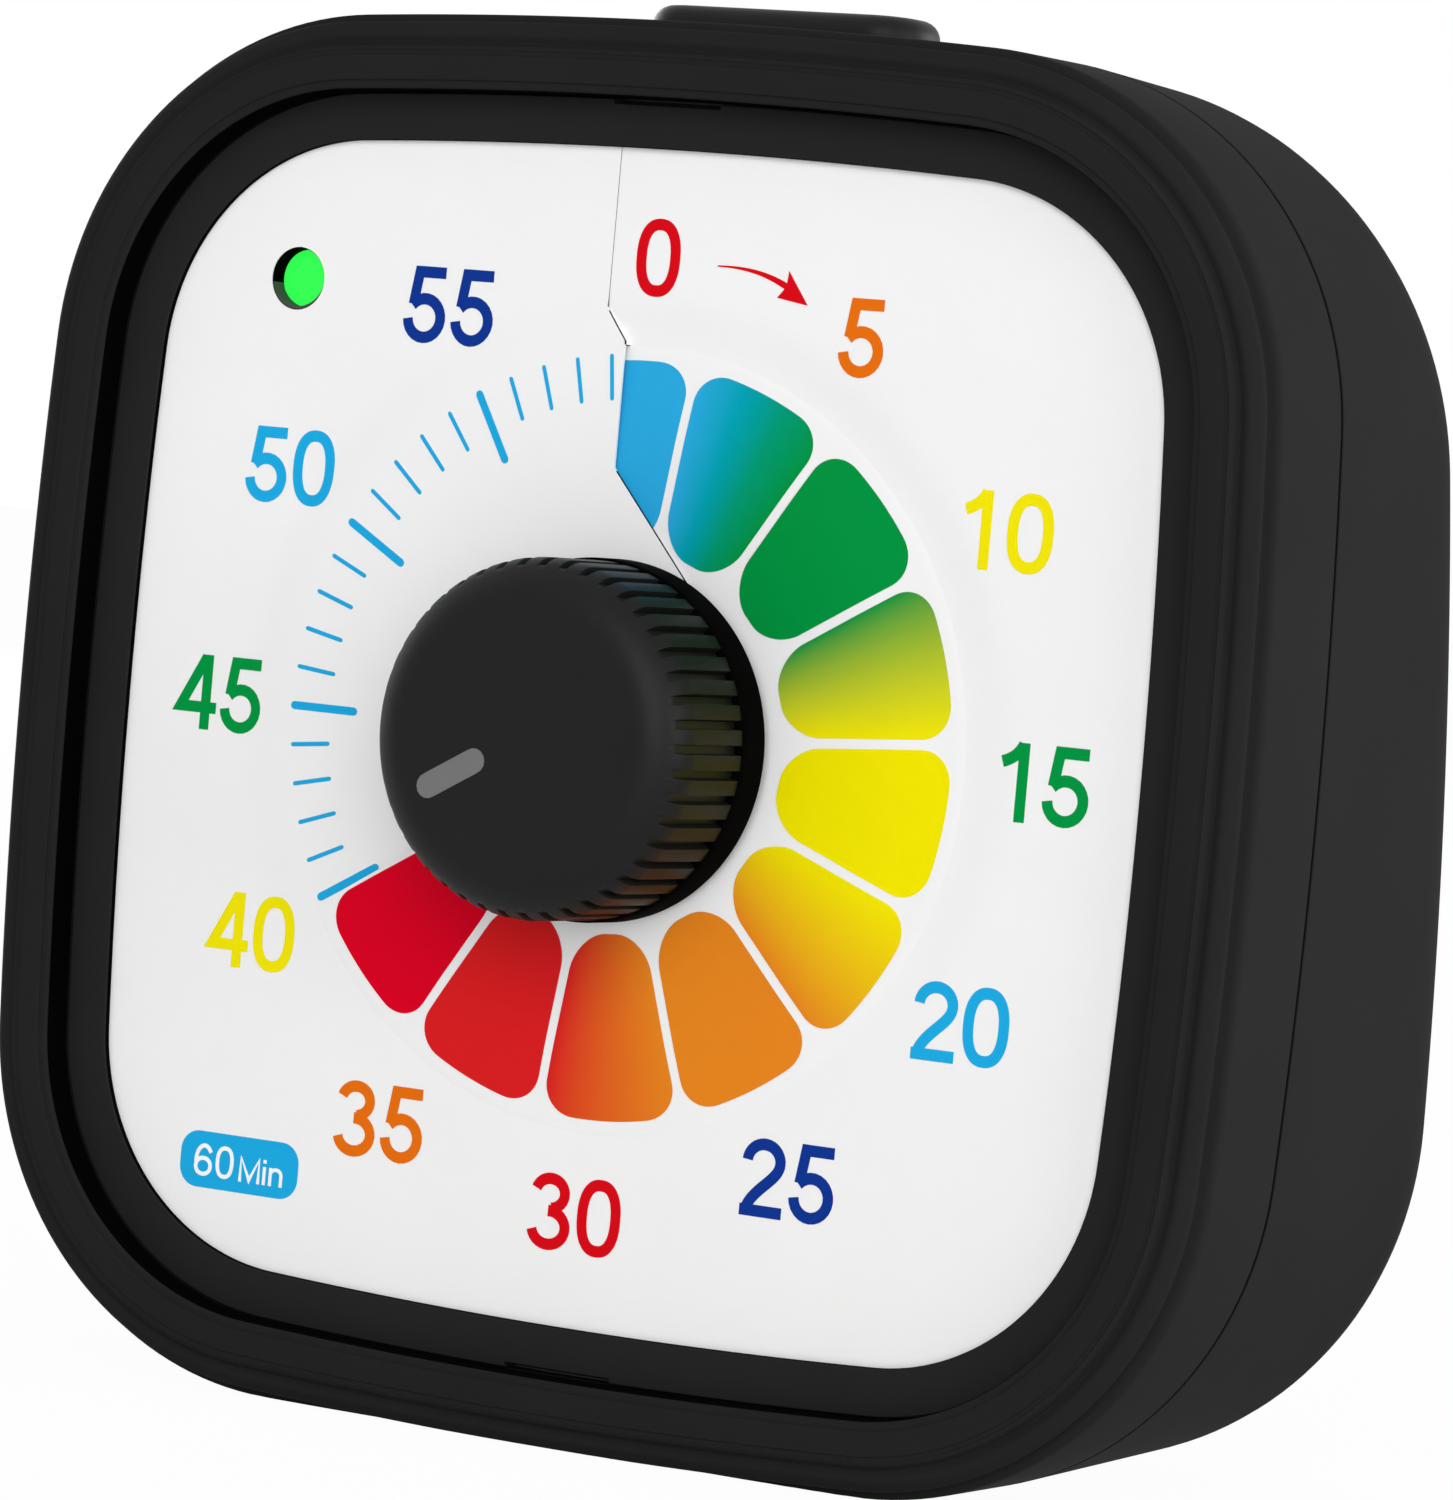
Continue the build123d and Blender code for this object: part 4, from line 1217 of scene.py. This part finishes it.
def knobCollar(form):
    # a plain ring behind the ribs, hollowed where the hub sits; its near-black colour is painted shade, in place
    # of the knob's own black
    front = form["foot"] - form["collar"]
    profile = softPath([
        (form["socket"], front, 0),
        (form["collarRadius"], front, form["collarRound"]),
        (form["collarRadius"], form["foot"], form["collarRound"]),
        (form["socket"], form["foot"], form["collarRound"]),
    ])
    return skinMesh("knob_collar", revolve(profile, form["collarColumns"]))


def knobIndex(form):
    # a bar with round ends, flat on the knob's face
    patch = tickPatches([form["barClock"] / 6], *form["bar"])[0]
    y = form["front"] - form["barLift"]
    points = np.stack(np.broadcast_arrays(patch[..., 0], y, patch[..., 1]), -1)
    return thicken(makeMesh("knob_index", points, gridFaces(*points.shape[:2]), False), form["barSheet"])


knob = fit(knobGrip(knobForm), knobBlack, "knob", "knob_black", "knob")
fit(knobCollar(knobForm), paintedShadeBlack, "knob", "knob_black")
fit(knobIndex(knobForm), markGreyAndSlitShade, "knob", "knob_black")
print("knob:", len(knob.data.polygons), "faces")


# Top button, lamp lens, battery door, volume cap and case screws

buttonForm = {
    "size": (19.0, 7.0, 3.2),
    "depth": 14.0,
    "top": 44.85,
    "under": 38.85,
    "round": 1.2,
    "flange": 1.0,
    "flangeThick": 1.25,
    "flangeEdge": 0.1,
    "middle": 2.6,             # insets and rounding of the dish in its top
    "dish": 0.25,
    "dishFoot": (1.9, 0.5),
    "dishLip": (1.5, 0.3),
}


def pressButton(form):
    # rounded boxes from the dished top, over the edge, down the side and out to the flange
    width, length, corner = form["size"]
    flangeTop = form["under"] + form["flangeThick"]
    floor = form["top"] - form["dish"]
    footInset, footRound = form["dishFoot"]
    lipInset, lipRound = form["dishLip"]
    profile = softPath([
        (form["middle"], floor, 0),
        (footInset, floor, footRound),
        (lipInset, form["top"], lipRound),
        (0, form["top"], form["round"]),
        (0, flangeTop, 0),
        (-form["flange"], flangeTop, form["flangeEdge"]),
        (-form["flange"], form["under"], form["flangeEdge"]),
        (form["middle"], form["under"], 0),
    ])
    return stackMesh("press_button", [
        levelLoop(roundBox(width - 2 * inset, length - 2 * inset, corner - inset), form["depth"], z)
        for inset, z in profile
    ])


fit(pressButton(buttonForm), knobBlack, "button", "knob_black", "top_button")

lensForm = {"radius": 1.83, "front": 1.05, "crown": 0.12, "domeSteps": 9, "rodFront": 3.0, "back": 4.2}


def lampLens(form):
    # a shallow dome, front + crown times share^2, on a round rod
    reach = np.linspace(0, 1, form["domeSteps"])
    dome = np.stack([form["radius"] * reach, form["front"] + form["crown"] * reach ** 2], -1)
    rod = [(form["radius"], form["rodFront"]), (form["radius"], form["back"]), (0, form["back"])]
    x, z = dialForm["lampPlace"]
    skin = revolve(np.concatenate([dome, rod]), dialForm["lampColumns"])
    return skinMesh("lamp_lens", skin + np.array([x, 0, z]), False)


fit(lampLens(lensForm), lensGreen, "case", "lens_green", "indicator_lens")

doorForm = {
    "size": (55.0, 17.0, 2.0),
    "thick": 1.4,
    "edge": 0.3,
    "edgeBend": 0.3,       # share of the edge where its bevel turns
    "gripWidth": 12.0,
    "gripRadius": 3.0,
    "gripSteps": 96,
    "gripSink": 0.5,
    "gripHeight": -21.25,
}


def backStack(name, size, across, z, profile, cornerShare=1.0):
    # rounded boxes on the leaning back; the profile gives each box's inset and its level
    width, height, corner = size
    loops = []
    for inset, out in profile:
        box = roundBox(width - 2 * inset, height - 2 * inset, corner - inset * cornerShare)
        loops.append(onBack(across + box[:, 0], upOnBack(z) + box[:, 1], out))
    return stackMesh(name, loops)


def bayDoor(form):
    # a plate with a bevelled edge; a cylinder along x, sunk in its face, cuts the finger grip
    edge = form["edge"]
    bend = edge * form["edgeBend"]
    profile = [(edge, 0.0), (bend, -bend), (0, -edge), (0, -form["thick"])]
    plate = backStack("bay_door", form["size"], 0, rearOpenings["doorHeight"], profile)
    ring = circleLoop(form["gripRadius"], form["gripSteps"])
    up = upOnBack(form["gripHeight"]) + ring[:, 0]
    out = form["gripRadius"] - form["gripSink"] + ring[:, 1]
    half = form["gripWidth"] / 2
    return cutOut(plate, [stackMesh("cutter", [onBack(x, up, out) for x in (-half, half)])])


fit(bayDoor(doorForm), caseBlack, "door", "case_black", "battery_door")

capForm = {"size": (3.5, 2.2, 0.5), "proud": 1.0, "foot": -3.2, "edge": 0.3, "cornerShare": 0.6}


def volumeCap(form):
    # a small block on the back with a bevelled edge
    profile = [(form["edge"], form["proud"]), (0, form["proud"] - form["edge"]), (0, form["foot"])]
    return backStack("volume_cap", form["size"], *rearOpenings["volumePlace"], profile, form["cornerShare"])


fit(volumeCap(capForm), knobBlack, "slider", "knob_black", "volume_slider")

screwForm = {
    "head": 2.7,
    "seat": 18.0,
    "top": 20.0,
    "crown": 0.5,
    "shank": 1.5,
    "tip": 8.5,
    "crownSteps": 8,
    "columns": 48,
    "slot": (3.0, 0.62, 0.124, 2),      # length, width, corner and its steps
    "slotDepth": 0.9,
    "slotOver": 1.0,
}


def caseScrews(form):
    # a crowned head on a plain shank, turned round y at each place, with a cross slot
    reach = np.linspace(0, 1, form["crownSteps"])
    head = np.stack([form["head"] * reach, form["top"] - form["crown"] * reach ** 2], -1)
    shank = np.array([
        (form["head"], form["seat"]),
        (form["shank"], form["seat"]),
        (form["shank"], form["tip"]),
        (0, form["tip"]),
    ])
    places = np.array([(x, 0, z) for x, z in rearOpenings["screwPlaces"]])
    one = revolve(np.concatenate([head, shank]), form["columns"])
    points = places[:, None, None, :] + one[None]
    screws = makeMesh("screw_heads", points, copiedFaces(points, False, True))
    length, width, *corner = form["slot"]
    slots = [roundBox(length, width, *corner), roundBox(width, length, *corner)]
    near = form["top"] - form["slotDepth"]
    far = form["top"] + form["slotOver"]
    crosses = [uprightCutter(slot, x, z, near, far) for x, y, z in places for slot in slots]
    return cutOut(screws, crosses)


fit(caseScrews(screwForm), steel, "case", "steel", "case_screws")
print("button, lens, door, cap and screws done")


# Finishes of the pieces that keep their own shape

nodeFinishes = {
    "inner_black": innerBlackAndSlitShade,
    "gear_white": gearWhite,
    "movement_grey": movementGrey,
    "steel": steel,
    "brass": brass,
    "board_green": boardGreen,
    "lens_green": lensGreen,
    "cell_wrap": cellWrap,
    "case_black": caseBlack,
    "frame_black": frameBlack,
    "knob_black": knobBlack,
    "dial_white": dialWhite,
    "disc_print": dialWhite,
}
for material in frame["record"]["materials"]:
    for nodeName in material.get("nodes", []):
        nodes[nodeName].data.materials.clear()
        nodes[nodeName].data.materials.append(nodeFinishes[material["slot"]])
print("inner pieces finished")


# Camera: turned to the right of the dial, a little above it and rolled

cameraForm = {
    "yaw": -30.0,
    "pitch": 2.26,
    "roll": 5.05,
    "dialInView": (-6.612, -0.555, 426.9),   # mm right, down and away from the eye
    "focalPixels": 7147,
    "frameHeight": 1500,
    "sensor": 36.0,
    "nearClip": 0.01,
}


def turnMatrix(axis, degrees):
    return np.array(Matrix.Rotation(math.radians(degrees), 3, axis))


def placeCamera(form):
    level = np.array([[1, 0, 0], [0, 0, -1], [0, 1, 0]])   # world to a level view: right, down, away
    tilt = turnMatrix("Z", form["roll"]) @ turnMatrix("X", form["pitch"])
    view = tilt @ level @ turnMatrix("Z", form["yaw"])
    lens = bpy.data.cameras.new("camera")
    lens.sensor_width = form["sensor"]
    lens.lens = form["focalPixels"] * form["sensor"] / form["frameHeight"]
    lens.clip_start = form["nearClip"]
    camera = bpy.data.objects.new("camera", lens)
    placed = np.eye(4)
    placed[:3, :3] = np.stack([view[0], -view[1], -view[2]], 1)
    placed[:3, 3] = (dialCentre - view.T @ np.array(form["dialInView"])) / 1000
    camera.matrix_world = Matrix(placed.tolist())
    bpy.context.scene.collection.objects.link(camera)
    bpy.context.scene.camera = camera


placeCamera(cameraForm)


# Floor, world and lamps

studioForm = {
    "floorHalf": 3.0,
    "floorTone": 236,
    "floorRough": 0.9,
    "floorGlow": 0.965,
    "worldFill": 0.46,
    "lamps": {                 # place in m from the dial, power in W, size in m
        "key": ((0.55, -1.05, 0.4), 8.5, 0.9),
        "side": ((1.2, -0.1, 0.12), 9.5, 1.0),
        "rear": ((0.9, 1.1, 0.15), 14.0, 0.9),
        "left": ((-1.1, 0.6, 0.1), 9.0, 0.9),
    },
}


def mathNode(tree, operation, first, second):
    # the first input is a socket to link, the second a socket or a plain number
    node = tree.nodes.new("ShaderNodeMath")
    node.operation = operation
    tree.links.new(first, node.inputs[0])
    if isinstance(second, float):
        node.inputs[1].default_value = second
    else:
        tree.links.new(second, node.inputs[1])
    return node.outputs[0]


def seenDirectly(tree):
    # 1 for rays from the camera, and for those that a gloss or glass sends on
    rays = tree.nodes.new("ShaderNodeLightPath").outputs
    sharp = mathNode(tree, "MAXIMUM", rays["Is Camera Ray"], rays["Is Glossy Ray"])
    return mathNode(tree, "MAXIMUM", sharp, rays["Is Transmission Ray"])


def mixOver(tree, share, under, over, output):
    mix = tree.nodes.new("ShaderNodeMixShader")
    tree.links.new(share, mix.inputs["Fac"])
    tree.links.new(under.outputs[0], mix.inputs[1])
    tree.links.new(over.outputs[0], mix.inputs[2])
    tree.links.new(mix.outputs["Shader"], tree.nodes[output].inputs["Surface"])


def layFloor(form):
    # a pale square that looks white to the camera and keeps the shadow
    half = form["floorHalf"]
    corners = [(-half, -half, 0), (half, -half, 0), (half, half, 0), (-half, half, 0)]
    mesh = bpy.data.meshes.new("floor")
    mesh.from_pydata(corners, [], [(0, 1, 2, 3)])
    floor = bpy.data.objects.new("floor", mesh)
    bpy.context.scene.collection.objects.link(floor)
    finish, tree, shader = startFinish("floorPale")
    shader.inputs["Base Color"].default_value = grey(form["floorTone"])
    shader.inputs["Roughness"].default_value = form["floorRough"]
    shader.inputs["Specular IOR Level"].default_value = 0.0
    share = mathNode(tree, "MULTIPLY", seenDirectly(tree), form["floorGlow"])
    mixOver(tree, share, shader, tree.nodes.new("ShaderNodeEmission"), "Material Output")
    mesh.materials.append(finish)


def lightWorld(form):
    world = bpy.data.worlds.new("studio")
    world.use_nodes = True
    tree = world.node_tree
    fill = tree.nodes["Background"]
    backdrop = tree.nodes.new("ShaderNodeBackground")
    for light in (fill, backdrop):
        light.inputs["Color"].default_value = (1, 1, 1, 1)
    fill.inputs["Strength"].default_value = form["worldFill"]
    mixOver(tree, seenDirectly(tree), fill, backdrop, "World Output")
    bpy.context.scene.world = world


def hangLamp(name, place, power, size):
    lamp = bpy.data.lights.new(name, "AREA")
    lamp.energy = power
    lamp.size = size
    holder = bpy.data.objects.new(name, lamp)
    holder.location = Vector(dialCentre / 1000) + Vector(place)
    holder.rotation_euler = (-Vector(place)).to_track_quat("-Z", "Y").to_euler()
    bpy.context.scene.collection.objects.link(holder)


layFloor(studioForm)
lightWorld(studioForm)
for lampName, (place, power, size) in studioForm["lamps"].items():
    hangLamp(lampName, place, power, size)
bpy.context.scene.view_settings.view_transform = "Standard"
print("camera and light set")
